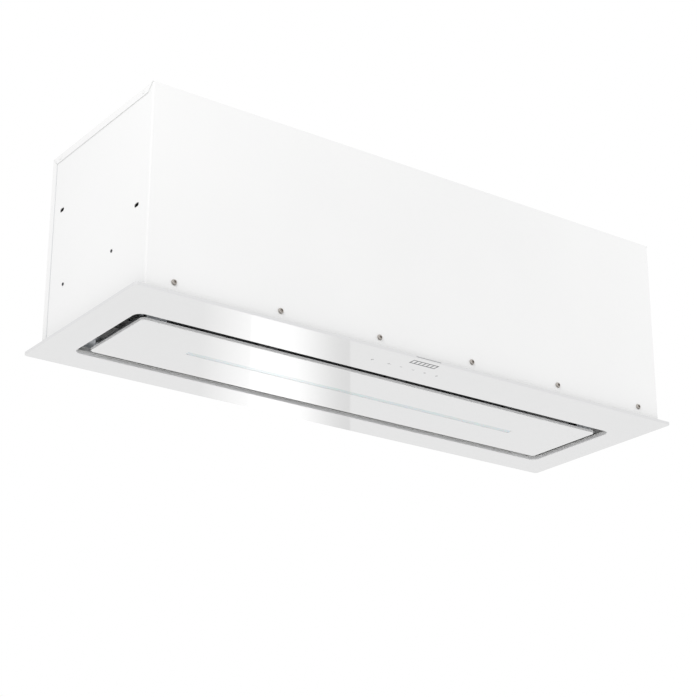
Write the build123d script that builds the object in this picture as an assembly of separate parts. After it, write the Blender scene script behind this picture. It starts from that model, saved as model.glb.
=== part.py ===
from build123d import *
from math import asin, cos, degrees, exp, log, radians, sin
import os

# Ceiling range hood, closed, as it hangs in use. Millimetres, +Z up.
# The origin is the centre of the glass rim's underside; X runs along the hood and the touch keys
# are on the -Y side. Everything above z = rim_glass stands inside the ceiling.

# ---- Glass rim ----
rim_length = 900.0
rim_width = 298.0
rim_glass = 4.0
rim_corner = 5.0
end_border = 47.5         # glass between each end of the rim and its opening
key_border = 78.0         # the wide border that carries the touch keys
far_border = 49.0
opening_corner = 12.0
arris = 0.5               # ground edge of the glass

# ---- Door panel ----
suction_gap = 16.0        # open all round the panel
panel_corner = 6.0
panel_glass_thick = 4.0
tray_inset = 16.0         # from the long edges of the glass
tray_end_inset = 4.0
tray_height = 6.0
light_end_inset = 107.5   # from the end of the panel to the light strip
light_width = 8.6
light_fit = 0.3           # between the light strip and the slot in the glass
light_recess = 0.3        # the strip lies this far above the face of the glass
channel_width = 24.0
channel_height = 12.0
channel_wall = 1.5
led_strip_width = 12.0
board_thick = 1.6

# ---- Housing ----
sheet = 1.0
end_overhang = 17.0       # glass beyond the housing at each end
key_overhang = 8.0
far_overhang = 19.0
housing_top_z = 286.0
bend_radius = 2.0         # outside of a bend in the housing sheet
fold_width = 11.4         # the cover's flanges over the ends
fold_chamfer = 12.0
mitre_gap = 0.56          # measured upright
top_lip = 12.0            # inward flanges that the cover lies on
carrier_margin = 4.0      # glass beyond the carrier behind it
carrier_lip = 2.0         # the carrier's opening is this much larger than the glass opening
upstand_height = 27.0
rim_screw_count = 6
rim_screw_inset = 40.5    # from the end wall to the outermost screw
rim_screw_rise = 14.0     # above the carrier
rivet_inset = 23.0
end_screw_pitch = 131.0
end_screw_rise = 8.0      # above the shelf over the filters
end_slot_length = 11.0
end_slot_height = 5.6
end_slot_near_inset = 30.0
end_slot_near_height = 124.0
end_slot_far_inset = 34.0
end_slot_far_height = 197.0

# ---- Fasteners ----
m4_radius = 2.0
m4_head_radius = 4.0
m4_head_height = 2.6
screw_reach = 6.0         # thread beyond the sheets that a screw holds
hole_play = 0.1           # radial, round a screw in its hole
small_screw_radius = 1.5
small_head_radius = 2.3
small_head_height = 0.8
rivet_radius = 3.2
rivet_height = 0.8
m5_radius = 2.5
m5_head_radius = 4.5
m5_head_height = 3.0
rivet_tail = 2.0
head_dome = 0.45          # share of a head's height that is domed

# ---- Recess and filters ----
recess_step = 9.5         # recess walls stand this far outside the opening
shelf_z = 75.0            # underside of the shelf over the filters
shelf_flange = 15.0
shelf_play = 0.5
flange = 10.0
filter_count = 3
filter_bay_inset = 72.0   # from the end wall of the recess to the first filter's bay
filter_gap = 4.0
filter_thick = 8.7
filter_top_gap = 1.0
filter_front_gap = 10.5
filter_bar = 14.0         # width of the filter's frame
filter_hold = 3.0         # depth of the filter on its ledge
ledge_depth = 9.5
ledge_wall = 12.0
seat_gap = 0.3
window_lap = 8.0          # shelf over each edge of a filter
pleat_count = 12
handle_length = 60.0
handle_drop = 9.0
handle_wire = 3.0
handle_inset = 9.0
magnet_radius = 6.0
magnet_height = 4.0

# ---- Hinges and catches of the door panel ----
hinge_end_inset = 21.0    # from the end of the panel to the middle of its hinge
hinge_edge_inset = 6.0    # from the near edge of the panel to the pin
hinge_height = 14.0       # pin above the face of the glass
hinge_span = 36.0
hinge_sheet = 1.5
hinge_pin_radius = 2.0
pin_head_lap = 0.75
pin_play = 0.05
eye_radius = 4.0
ear_radius = 6.0
ear_foot_low = 10.0       # the ears reach the wall this far above the pin
ear_foot_high = 32.0
leaf_side_gap = 2.0
leaf_lap = 26.0
leaf_lip_gap = 0.5        # between the leaf's lip and the near edge of the glass
leaf_rise = 7.5           # top arm of the leaf above its foot
catch_end_inset = 12.0
catch_edge_inset = 6.0
catch_width = 20.0
catch_sheet = 1.5
catch_foot = 20.0
keeper_lap = 14.0
keeper_sheet = 1.5

# ---- Duct and flaps ----
duct_offset = 13.0        # from the middle of the housing towards the far side
duct_outer_radius = 74.5
duct_wall = 2.0
duct_rise = 37.0
collar_plate_margin = 15.5
collar_plate_thick = 3.0
collar_plate_corner = 12.0
collar_screw_inset = 10.0
flap_pin_rise = 18.0      # above the roof
flap_pin_radius = 1.5
flap_knuckle_radius = 3.0
flap_thick = 1.5
flap_edge_gap = 1.5
flap_stop_width = 4.0
flap_stop_thick = 2.0
flap_boss_radius = 4.0
flap_boss_length = 5.0
knuckle_count = 4
knuckle_gap = 0.5

# ---- Blower ----
wheel_radius = 70.0
wheel_half_width = 50.0
blade_count = 36
blade_depth = 12.0
blade_thick = 1.0
blade_sweep = 8.0
blade_bow_out = 1.5
blade_bow_back = 2.0
wheel_disc = 2.0
band_width = 4.0
hub_wall = 8.0
hub_length = 18.0
hub_back = 4.0            # hub behind the middle of the wheel
shaft_radius = 4.0
shaft_play = 0.05
shaft_end_gap = 1.0
shaft_clearance = 1.0
wheel_side_gap = 5.0
scroll_sheet = 1.0
tongue_gap = 7.0          # between the wheel and the start of the scroll
scroll_spread = 23.0      # the spiral opens by this much
scroll_start_angle = -8.0
scroll_end_angle = 270.0
scroll_points = 14
scroll_centre_drop = 100.0  # wheel axis below the roof
scroll_seam = 3.0
outlet_gasket_thick = 1.0
outlet_flange_thick = 1.2
inlet_inset = 2.0         # inside the inner edge of the blades
inlet_lip_depth = 3.5
motor_inlet_gap = 12.0
motor_length = 52.0
motor_corner = 3.0
motor_hub_gap = 6.5
bearing_ring = 7.0
bearing_width = 6.0
bracket_sheet = 3.0
bracket_arm_width = 14.0
bracket_arm_count = 3
bracket_arm_margin = 28.0  # from the inlet to the end of an arm
bracket_hub_margin = 8.0
motor_screw_circle = 22.0

# ---- Hanger rails, controls and inlet ----
hanger_end_inset = 103.0  # from the end wall
hanger_edge_inset = 40.5  # from the long walls
hanger_hole_radius = 4.5
rail_width = 40.0
rail_height = 18.0
rail_sheet = 2.0
rail_end_gap = 5.0
box_depth = 150.0
box_height = 36.0
box_wall = 1.5
box_duct_gap = 20.0       # from the collar's flange to the control box and to the driver
gland_room = 50.0         # between the control box and the hanger rail
board_margin = 8.0
board_post = 6.0
relay_height = 14.0
relay_length = 26.0
relay_count = 3
driver_length = 110.0
driver_depth = 40.0
driver_height = 22.0
driver_corner = 1.6
capacitor_radius = 15.0
capacitor_length = 60.0
gland_radius = 8.0
gland_flange = 3.0
gland_bore_radius = 4.0
gland_counterbore = 1.2
gland_nut_height = 4.0
gland_thread_tail = 4.0
gland_dome = 2.0
gland_rise = 16.0
key_window_length = 160.0
key_window_width = 28.0
key_board_end_gap = 5.0
key_board_side_gap = 2.0
key_cover_height = 6.0
key_cover_lap = 3.0

# ---- Lines that several pieces share ----
rim_x = rim_length / 2
rim_y = rim_width / 2
open_x = rim_x - end_border
open_near = -rim_y + key_border
open_far = rim_y - far_border
panel_x = open_x - suction_gap
panel_near = open_near + suction_gap
panel_far = open_far - suction_gap
panel_mid = (panel_near + panel_far) / 2
light_length = 2 * (panel_x - light_end_inset)
wall_x = rim_x - end_overhang
wall_near = -rim_y + key_overhang
wall_far = rim_y - far_overhang
inner_x = wall_x - sheet
inner_near = wall_near + sheet
inner_far = wall_far - sheet
housing_mid = (wall_near + wall_far) / 2
carrier_z = rim_glass + sheet
roof_z = housing_top_z - sheet
recess_x = open_x + recess_step
recess_near = open_near - recess_step
recess_far = open_far + recess_step
filter_bay_length = 2 * (recess_x - filter_bay_inset)
filter_top = shelf_z - filter_top_gap
filter_bottom = filter_top - filter_thick
filter_pitch = filter_bay_length / filter_count
filter_length = filter_pitch - filter_gap
filter_near = recess_near + filter_front_gap
ledge_edge = recess_far - ledge_depth
filter_far = ledge_edge + filter_hold
filter_places = [(n - (filter_count - 1) / 2) * filter_pitch for n in range(filter_count)]
tray_z = panel_glass_thick
tray_near = panel_near + tray_inset
tray_far = panel_far - tray_inset
tray_x = panel_x - tray_end_inset
hinge_x = panel_x - hinge_end_inset
hinge_y = panel_near + hinge_edge_inset
catch_x = panel_x - catch_end_inset
catch_y = panel_far - catch_edge_inset
keeper_top = tray_z + tray_height + keeper_sheet
duct_y = housing_mid + duct_offset
duct_inner_radius = duct_outer_radius - duct_wall
duct_top = housing_top_z + collar_plate_thick + duct_rise
flap_pin_z = housing_top_z + flap_pin_rise
rim_screw_height = carrier_z + rim_screw_rise
rim_screw_pitch = 2 * (wall_x - rim_screw_inset) / (rim_screw_count - 1)
rim_screw_places = [(n - (rim_screw_count - 1) / 2) * rim_screw_pitch for n in range(rim_screw_count)]
end_screw_height = shelf_z + end_screw_rise
end_screw_places = (panel_mid - end_screw_pitch / 2, panel_mid + end_screw_pitch / 2)
rivet_line_z = housing_top_z - fold_width / 2
rivet_places = (wall_near + rivet_inset, wall_far - rivet_inset + bend_radius)
collar_plate_width = 2 * (duct_outer_radius + collar_plate_margin)
collar_screw_reach = collar_plate_width / 2 - collar_screw_inset
collar_screw_places = [
    (side * collar_screw_reach, duct_y + end * collar_screw_reach) for side in (-1, 1) for end in (-1, 1)
]
hanger_x = wall_x - hanger_end_inset
hanger_lines = (wall_near + hanger_edge_inset, wall_far - hanger_edge_inset)
hanger_places = [(side * hanger_x, y) for side in (-1, 1) for y in hanger_lines]


# ---- Shapes used all over ----
def block(x0, x1, y0, y1, z0, z1):
    size = Box(x1 - x0, y1 - y0, z1 - z0)
    return Pos((x0 + x1) / 2, (y0 + y1) / 2, (z0 + z1) / 2) * size


def plate(x0, x1, y0, y1, z0, z1, corner):
    outline = Pos((x0 + x1) / 2, (y0 + y1) / 2, z0) * RectangleRounded(x1 - x0, y1 - y0, corner)
    return extrude(outline, amount=z1 - z0)


def rod_x(x0, x1, y, z, radius):
    return Pos((x0 + x1) / 2, y, z) * Rot(0, 90, 0) * Cylinder(radius, abs(x1 - x0))


def rod_y(x, y0, y1, z, radius):
    return Pos(x, (y0 + y1) / 2, z) * Rot(90, 0, 0) * Cylinder(radius, abs(y1 - y0))


def rod_z(x, y, z0, z1, radius):
    return Pos(x, y, (z0 + z1) / 2) * Cylinder(radius, abs(z1 - z0))


def side_profile(points, x0, x1):
    """A closed outline given as (y, z) points, carried from x0 to x1."""
    outline = make_face(Polyline(*[(x0, y, z) for y, z in points], close=True))
    return extrude(outline, amount=x1 - x0, dir=(1, 0, 0))


def bent_strip(points, thickness, bend, x0, x1):
    """A strip of sheet along (y, z) points of its middle line, rounded at the bends."""
    path = FilletPolyline(*points, radius=bend)
    section = trace(path, line_width=thickness)
    turned = Plane(origin=(x0, 0, 0), x_dir=(0, 1, 0), z_dir=(1, 0, 0)) * section
    return extrude(turned, amount=x1 - x0, dir=(1, 0, 0))


def pan_screw(radius, head_radius, head_height, shank):
    """A screw along +Z: its head stands on z = 0 and its shank goes down."""
    dome = head_height * head_dome
    head = Pos(0, 0, head_height / 2) * Cylinder(head_radius, head_height)
    head = chamfer(head.edges().sort_by(Axis.Z)[-1], dome)
    return head + rod_z(0, 0, -shank, 0, radius)


def save(name, *pieces):
    solids = [solid for piece in pieces for solid in piece.solids()]
    shape = solids[0] if len(solids) == 1 else Compound(children=solids)
    shape.label = name
    export_step(shape, f"parts/{name}.step")


# ---- Rim and its carrier ----
def glass_rim():
    rim = plate(-rim_x, rim_x, -rim_y, rim_y, 0, rim_glass, rim_corner)
    rim -= plate(-open_x, open_x, open_near, open_far, 0, rim_glass, opening_corner)
    return chamfer(rim.edges().group_by(Axis.Z)[0], arris)


def rim_carrier():
    """Steel frame bonded to the back of the rim, with the wall that the housing is screwed to."""
    edge_x = rim_x - carrier_margin
    edge_y = rim_y - carrier_margin
    frame = plate(-edge_x, edge_x, -edge_y, edge_y, rim_glass, carrier_z, rim_corner)
    wall_top = carrier_z + upstand_height
    frame += plate(-inner_x, inner_x, inner_near, inner_far, carrier_z, wall_top, bend_radius)
    frame -= plate(
        -inner_x + sheet,
        inner_x - sheet,
        inner_near + sheet,
        inner_far - sheet,
        carrier_z,
        wall_top,
        bend_radius - sheet / 2,
    )
    frame -= plate(
        -open_x - carrier_lip,
        open_x + carrier_lip,
        open_near - carrier_lip,
        open_far + carrier_lip,
        rim_glass,
        carrier_z,
        opening_corner,
    )
    key_y = (open_near - rim_y) / 2
    frame -= block(
        -key_window_length / 2,
        key_window_length / 2,
        key_y - key_window_width / 2,
        key_y + key_window_width / 2,
        rim_glass,
        carrier_z,
    )
    for x in rim_screw_places:
        frame -= rod_y(x, wall_near, wall_far, rim_screw_height, m4_radius + hole_play)
    return frame


# ---- Housing ----
def end_slot(y, z):
    """Round-ended slot for a cable, through both ends."""
    radius = end_slot_height / 2
    reach = end_slot_length / 2 - radius
    slot = block(-wall_x, wall_x, y - reach, y + reach, z - radius, z + radius)
    for middle in (y - reach, y + reach):
        slot += rod_x(-wall_x, wall_x, middle, z, radius)
    return slot


def housing_shell():
    """Near side and both ends in one bent sheet, with lips at the top for the cover."""
    shell = plate(-wall_x, wall_x, wall_near, wall_far + bend_radius, carrier_z, roof_z, bend_radius)
    shell -= plate(
        -inner_x,
        inner_x,
        inner_near,
        wall_far + bend_radius,
        carrier_z,
        roof_z - sheet,
        bend_radius - sheet,
    )
    shell -= block(
        -inner_x + top_lip,
        inner_x - top_lip,
        inner_near + top_lip,
        wall_far + bend_radius,
        roof_z - sheet,
        roof_z,
    )
    shell -= block(-wall_x, wall_x, inner_far, wall_far + bend_radius, carrier_z, roof_z)
    for x in rim_screw_places:
        shell -= rod_y(x, wall_near, inner_near, rim_screw_height, m4_radius + hole_play)
    for y in end_screw_places:
        shell -= rod_x(-wall_x, wall_x, y, end_screw_height, small_screw_radius + hole_play)
    for y in rivet_places:
        shell -= rod_x(-wall_x, wall_x, y, rivet_line_z, m4_radius)
    shell -= end_slot(wall_near + end_slot_near_inset, end_slot_near_height)
    return shell - end_slot(wall_far - end_slot_far_inset, end_slot_far_height)


def cover_blank():
    """Both cover sheets in one block, with the rounded outside of their bends."""
    outer_x = wall_x + sheet
    blank = block(-outer_x, outer_x, wall_near, wall_far, carrier_z, housing_top_z)
    rounded = blank.edges().filter_by(Axis.X).group_by(Axis.Z)[-1].sort_by(Axis.Y)[-1:]
    rounded += blank.edges().filter_by(Axis.Y).group_by(Axis.Z)[-1]
    rounded += blank.edges().filter_by(Axis.Z).group_by(Axis.Y)[-1]
    return fillet(rounded, sheet)


def housing_top():
    """Roof sheet, folded down over both ends and mitred where it meets the far sheet's folds."""
    fold_low = housing_top_z - fold_width
    fold_near = wall_far - fold_width
    half_gap = mitre_gap / 2
    top = cover_blank() - block(-wall_x, wall_x, wall_near, wall_far, carrier_z, roof_z)
    for side in (-1, 1):
        skin = sorted((side * wall_x, side * (wall_x + sheet)))
        top -= block(*skin, wall_near, fold_near, carrier_z, fold_low)
        corner = [
            (wall_near, fold_low),
            (wall_near + fold_chamfer, fold_low),
            (wall_near, fold_low + fold_chamfer),
        ]
        top -= side_profile(corner, *skin)
        below_mitre = [
            (fold_near, carrier_z),
            (fold_near, fold_low + half_gap),
            (inner_far - half_gap, roof_z),
            (wall_far, roof_z),
            (wall_far, carrier_z),
        ]
        top -= side_profile(below_mitre, *skin)
    for y in rivet_places:
        top -= rod_x(-wall_x - sheet, wall_x + sheet, y, rivet_line_z, m4_radius)
    for x, y in hanger_places:
        top -= rod_z(x, y, roof_z, housing_top_z, hanger_hole_radius)
    for x, y in collar_screw_places:
        top -= rod_z(x, y, roof_z, housing_top_z, m5_radius + hole_play)
    top -= rod_z(0, duct_y, roof_z, housing_top_z, duct_inner_radius)
    return top - rod_z(*gland_place(), roof_z, housing_top_z, gland_radius + hole_play)


def housing_back():
    """Far sheet, folded round both ends up to the mitre, its top edge under the roof sheet."""
    fold_low = housing_top_z - fold_width
    fold_near = wall_far - fold_width
    half_gap = mitre_gap / 2
    outer_x = wall_x + sheet
    back = cover_blank() - block(-outer_x, outer_x, wall_near, wall_far, roof_z, housing_top_z)
    back -= block(-wall_x, wall_x, wall_near, inner_far, carrier_z, roof_z)
    for side in (-1, 1):
        skin = sorted((side * wall_x, side * outer_x))
        back -= block(*skin, wall_near, fold_near, carrier_z, roof_z)
        above_mitre = [(fold_near, fold_low - half_gap), (fold_near, roof_z), (inner_far + half_gap, roof_z)]
        back -= side_profile(above_mitre, *skin)
    for x in rim_screw_places:
        back -= rod_y(x, inner_far, wall_far, rim_screw_height, m4_radius + hole_play)
    return back


def cover_rivets():
    rivets = []
    skin_x = wall_x + sheet
    for side in (-1, 1):
        for y in rivet_places:
            rivet = pan_screw(m4_radius - hole_play, rivet_radius, rivet_height, 2 * sheet + rivet_tail)
            place = Pos(side * skin_x, y, rivet_line_z)
            rivets.append(place * Rot(0, side * 90, 0) * rivet)
    return rivets


def rim_screws(side):
    wall = wall_near if side < 0 else wall_far
    shank = 2 * sheet + screw_reach
    screw = Rot(side * -90, 0, 0) * pan_screw(m4_radius, m4_head_radius, m4_head_height, shank)
    return [Pos(x, wall, rim_screw_height) * screw for x in rim_screw_places]


def shelf_screws():
    screws = []
    for side in (-1, 1):
        for y in end_screw_places:
            shank = 2 * sheet + screw_reach
            screw = pan_screw(small_screw_radius, small_head_radius, small_head_height, shank)
            screws.append(Pos(side * wall_x, y, end_screw_height) * Rot(0, side * 90, 0) * screw)
    return screws


# ---- Recess over the opening, and the shelf over the filters ----
def ring(grow_out, grow_in, z0, z1):
    """A ring round the recess, between two distances outside its inner face."""
    corner = opening_corner
    outer = plate(
        -recess_x - grow_out,
        recess_x + grow_out,
        recess_near - grow_out,
        recess_far + grow_out,
        z0,
        z1,
        corner + grow_out,
    )
    inner = plate(
        -recess_x - grow_in,
        recess_x + grow_in,
        recess_near - grow_in,
        recess_far + grow_in,
        z0,
        z1,
        corner + grow_in,
    )
    return outer - inner


def recess_lining():
    lining = ring(sheet, 0, carrier_z, shelf_z)
    lining += ring(flange, 0, carrier_z, carrier_z + sheet)
    return lining + ring(flange, 0, shelf_z - sheet, shelf_z)


def filter_shelf():
    near = inner_near + shelf_play
    far = inner_far - shelf_play
    top = shelf_z + shelf_flange
    floor = shelf_z + sheet
    shelf = plate(-inner_x, inner_x, near, far, shelf_z, top, bend_radius)
    shelf -= plate(
        -inner_x + sheet,
        inner_x - sheet,
        near + sheet,
        far - sheet,
        floor,
        top,
        bend_radius - sheet,
    )
    for x in filter_places:
        shelf -= plate(
            x - filter_length / 2 + window_lap,
            x + filter_length / 2 - window_lap,
            filter_near + window_lap + 2 * magnet_radius,
            filter_far - window_lap,
            shelf_z,
            floor,
            bend_radius,
        )
    for y in end_screw_places:
        shelf -= rod_x(-inner_x, inner_x, y, end_screw_height, small_screw_radius + hole_play)
    return shelf


def filter_ledge():
    """Angle along the far wall of the recess that carries the far edge of each filter."""
    top = filter_bottom - seat_gap
    ledge_x = filter_bay_length / 2
    ledge = block(-ledge_x, ledge_x, ledge_edge, recess_far, top - sheet, top)
    return ledge + block(-ledge_x, ledge_x, recess_far - sheet, recess_far, top - ledge_wall, top)


def filter_magnets():
    magnets = []
    y = filter_near + window_lap + magnet_radius - filter_bar / 4
    for x in filter_places:
        for side in (-1, 1):
            place = x + side * filter_length / 4
            magnets.append(rod_z(place, y, shelf_z + sheet, shelf_z + sheet + magnet_height, magnet_radius))
    return magnets


# ---- Grease filters ----
def filter_frame(x):
    half = filter_length / 2
    frame = plate(x - half, x + half, filter_near, filter_far, filter_bottom, filter_top, bend_radius)
    frame -= block(
        x - half + filter_bar,
        x + half - filter_bar,
        filter_near + filter_bar,
        filter_far - filter_bar,
        filter_bottom,
        filter_top,
    )
    frame -= block(
        x - half + sheet,
        x + half - sheet,
        filter_near + sheet,
        filter_far - sheet,
        filter_bottom + sheet,
        filter_top - sheet,
    )
    return frame


def filter_mesh(x):
    """Pack of folded mesh, held in the channel of the frame."""
    half = filter_length / 2 - sheet
    near = filter_near + sheet
    far = filter_far - sheet
    low = filter_bottom + sheet
    high = filter_top - sheet
    mid = (low + high) / 2
    fold = (far - near) / pleat_count
    upper = [(near, mid)]
    lower = [(near, low)]
    for n in range(pleat_count):
        upper.append((near + (n + 0.5) * fold, high))
        upper.append((near + (n + 1) * fold, mid))
        lower.append((near + (n + 0.5) * fold, mid))
        lower.append((near + (n + 1) * fold, low))
    return side_profile(upper + lower[::-1], x - half, x + half)


def filter_handle(x):
    """Wire pull under the near bar of the frame."""
    y = filter_near + handle_inset
    half = handle_length / 2
    low = filter_bottom - handle_drop
    ends = [(x - half, y, filter_bottom), (x + half, y, filter_bottom)]
    points = [ends[0], (x - half, y, low), (x + half, y, low), ends[1]]
    path = FilletPolyline(*points, radius=handle_drop / 2)
    section = Plane(origin=points[0], z_dir=(0, 0, -1)) * Circle(handle_wire / 2)
    return sweep(section, path=path)


# ---- Door panel ----
def light_slot(z0, z1, extra):
    half = light_length / 2 + extra
    wide = light_width / 2 + extra
    return block(-half, half, panel_mid - wide, panel_mid + wide, z0, z1)


def panel_glass():
    panel = plate(-panel_x, panel_x, panel_near, panel_far, 0, panel_glass_thick, panel_corner)
    panel = chamfer(panel.edges().group_by(Axis.Z)[0], arris)
    return panel - light_slot(0, panel_glass_thick, light_fit)


def panel_tray():
    tray = plate(-tray_x, tray_x, tray_near, tray_far, tray_z, tray_z + tray_height, bend_radius)
    tray -= plate(
        -tray_x + sheet,
        tray_x - sheet,
        tray_near + sheet,
        tray_far - sheet,
        tray_z + sheet,
        tray_z + tray_height,
        bend_radius - sheet,
    )
    return tray - light_slot(tray_z, tray_z + sheet, light_fit + channel_wall)


def light_diffuser():
    strip = light_slot(light_recess, panel_glass_thick, 0)
    return strip + light_slot(panel_glass_thick, tray_z + sheet, channel_wall)


def light_channel():
    half = light_length / 2 + channel_wall
    near = panel_mid - channel_width / 2
    far = panel_mid + channel_width / 2
    low = tray_z + sheet
    channel = block(-half, half, near, far, low, low + channel_height)
    inside = block(
        -half,
        half,
        near + channel_wall,
        far - channel_wall,
        low,
        low + channel_height - channel_wall,
    )
    return channel - inside


def led_board():
    top = tray_z + sheet + channel_height - channel_wall
    half = light_length / 2
    wide = led_strip_width / 2
    return block(-half, half, panel_mid - wide, panel_mid + wide, top - board_thick, top)


# ---- Hinges of the door panel ----
def hinge_bracket(side):
    """Two ears that reach over the edge of the panel from the near wall of the recess."""
    x0 = side * hinge_x - hinge_span / 2
    x1 = side * hinge_x + hinge_span / 2
    foot_low = hinge_height + ear_foot_low
    foot_high = hinge_height + ear_foot_high
    outline = [
        (recess_near, foot_low),
        (recess_near, foot_high),
        (recess_near + ear_foot_low, foot_high),
        (hinge_y + ear_radius, foot_low + hinge_sheet),
        (hinge_y + ear_radius, hinge_height),
        (hinge_y - ear_radius, hinge_height),
        (hinge_y - ear_radius, foot_low),
    ]
    bracket = side_profile(outline, x0, x1) + rod_x(x0, x1, hinge_y, hinge_height, ear_radius)
    bracket -= block(
        x0 + hinge_sheet,
        x1 - hinge_sheet,
        recess_near + hinge_sheet,
        hinge_y + ear_radius,
        hinge_height - ear_radius,
        foot_high,
    )
    return bracket - rod_x(x0, x1, hinge_y, hinge_height, hinge_pin_radius + pin_play)


def hinge_pin(side):
    half = hinge_span / 2 + hinge_sheet
    mid = side * hinge_x
    pin = rod_x(mid - half, mid + half, hinge_y, hinge_height, hinge_pin_radius)
    for x0, x1 in ((mid - half, mid - hinge_span / 2), (mid + hinge_span / 2, mid + half)):
        pin += rod_x(x0, x1, hinge_y, hinge_height, hinge_pin_radius + pin_head_lap)
    return pin


def hinge_leaf(side):
    """Bent strip on the tray, rolled into an eye round the pin, its end down on the back of the glass."""
    half = hinge_span / 2 - hinge_sheet - leaf_side_gap
    mid = side * hinge_x
    foot = tray_z + sheet + hinge_sheet / 2
    bend = tray_near + sheet + 2 * hinge_sheet
    points = [
        (bend + leaf_lap, foot),
        (bend, foot),
        (bend, foot + leaf_rise),
        (hinge_y + eye_radius - hinge_sheet / 2, foot + leaf_rise),
    ]
    leaf = bent_strip(points, hinge_sheet, hinge_sheet, mid - half, mid + half)
    leaf += rod_x(mid - half, mid + half, hinge_y, hinge_height, eye_radius)
    lip_near = panel_near + leaf_lip_gap
    lip_far = lip_near + hinge_sheet
    leaf += block(mid - half, mid + half, lip_near, lip_far, tray_z, hinge_height)
    leaf += block(mid - half, mid + half, lip_near, hinge_y, hinge_height - hinge_sheet, hinge_height)
    return leaf - rod_x(mid - half, mid + half, hinge_y, hinge_height, hinge_pin_radius + pin_play)


# ---- Catches at the far edge of the door panel ----
def catch_arm(side):
    """Angle on the far wall of the recess that holds a magnet over the panel's keeper."""
    low = keeper_top + seat_gap + magnet_height
    x0 = side * catch_x - catch_width / 2
    x1 = side * catch_x + catch_width / 2
    arm = block(x0, x1, catch_y - magnet_radius - catch_sheet, recess_far, low, low + catch_sheet)
    return arm + block(x0, x1, recess_far - catch_sheet, recess_far, low, low + catch_foot)


def catch_magnet(side):
    low = keeper_top + seat_gap
    return rod_z(side * catch_x, catch_y, low, low + magnet_height, magnet_radius)


def catch_keeper(side):
    x0 = side * (catch_x + magnet_radius)
    x1 = side * (tray_x - 2 * catch_width)
    low, high = sorted((x0, x1))
    seat = tray_z + tray_height
    lip = block(low, high, tray_far - keeper_lap, catch_y + magnet_radius, seat, seat + keeper_sheet)
    foot_low, foot_high = sorted((x1, side * (tray_x - catch_width)))
    inside = tray_far - sheet
    return lip + block(foot_low, foot_high, inside - keeper_sheet, inside, tray_z + sheet, seat)


# ---- Blower ----
inlet_radius = wheel_radius - blade_depth - inlet_inset
motor_radius = inlet_radius - motor_inlet_gap
bearing_radius = shaft_radius + bearing_ring
hub_radius = shaft_radius + hub_wall
bracket_arm_reach = inlet_radius + bracket_arm_margin
bracket_hub_radius = motor_screw_circle + bracket_hub_margin
scroll_half_width = wheel_half_width + wheel_side_gap
scroll_start_radius = wheel_radius + tongue_gap
scroll_end_radius = scroll_start_radius + scroll_spread
scroll_centre_z = housing_top_z - scroll_centre_drop
scroll_centre_y = duct_y - (scroll_end_radius - scroll_start_radius * sin(radians(scroll_start_angle))) / 2
scroll_growth = log(scroll_end_radius / scroll_start_radius) / radians(scroll_end_angle - scroll_start_angle)
flange_z = roof_z - outlet_gasket_thick
neck_top = flange_z - outlet_flange_thick


def scroll_radius(angle):
    return scroll_start_radius * exp(scroll_growth * radians(angle - scroll_start_angle))


def scroll_outline(extra):
    """Inside of the scroll in the YZ plane, grown by extra: a spiral that runs into a straight neck."""
    tongue_y = -scroll_start_radius * sin(radians(scroll_start_angle)) - extra
    start = degrees(asin(-tongue_y / (scroll_start_radius + extra)))
    spiral = []
    for n in range(scroll_points + 1):
        angle = start + (scroll_end_angle - start) * n / scroll_points
        reach = scroll_radius(angle) + extra
        y = scroll_centre_y - reach * sin(radians(angle))
        spiral.append((0, y, scroll_centre_z + reach * cos(radians(angle))))
    first = spiral[0]
    last = spiral[-1]
    curve = Spline(*spiral)
    side_up = Line(last, (0, last[1], flange_z))
    across = Line((0, last[1], flange_z), (0, first[1], flange_z))
    side_down = Line((0, first[1], flange_z), first)
    return make_face([curve, side_up, across, side_down])


def neck_sides():
    near = scroll_centre_y - scroll_start_radius * sin(radians(scroll_start_angle))
    return near, scroll_centre_y + scroll_end_radius


def scroll_wrap():
    """Curled strip of the scroll with its outlet flange."""
    half = scroll_half_width
    wrap = Pos(-half, 0, 0) * extrude(scroll_outline(scroll_sheet), amount=2 * half, dir=(1, 0, 0))
    wrap -= block(-half, half, -rim_y, rim_y, neck_top, flange_z)
    reach = collar_plate_width / 2
    wrap += block(-reach, reach, duct_y - reach, duct_y + reach, neck_top, flange_z)
    wrap -= Pos(-half, 0, 0) * extrude(scroll_outline(0), amount=2 * half, dir=(1, 0, 0))
    for x, y in collar_screw_places:
        wrap -= rod_z(x, y, neck_top, flange_z, m5_radius + hole_play)
    return wrap


def scroll_cheek(side):
    """Side of the scroll with the rolled lip of its inlet."""
    half = scroll_half_width
    cheek = extrude(scroll_outline(scroll_seam), amount=scroll_sheet, dir=(side, 0, 0))
    cheek = Pos(side * half, 0, 0) * cheek
    cheek -= block(-wall_x, wall_x, -rim_y, rim_y, neck_top, roof_z)
    inner = side * (half - inlet_lip_depth)
    face = side * (half + scroll_sheet)
    lip = rod_x(*sorted((inner, face)), scroll_centre_y, scroll_centre_z, inlet_radius + scroll_sheet)
    cheek += lip
    return cheek - rod_x(*sorted((inner, face)), scroll_centre_y, scroll_centre_z, inlet_radius)


def outlet_gasket():
    near, far = neck_sides()
    reach = collar_plate_width / 2
    pad = block(-reach, reach, duct_y - reach, duct_y + reach, flange_z, roof_z)
    pad -= block(-scroll_half_width, scroll_half_width, near, far, flange_z, roof_z)
    for x, y in collar_screw_places:
        pad -= rod_z(x, y, flange_z, roof_z, m5_radius + hole_play)
    return pad


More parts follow.
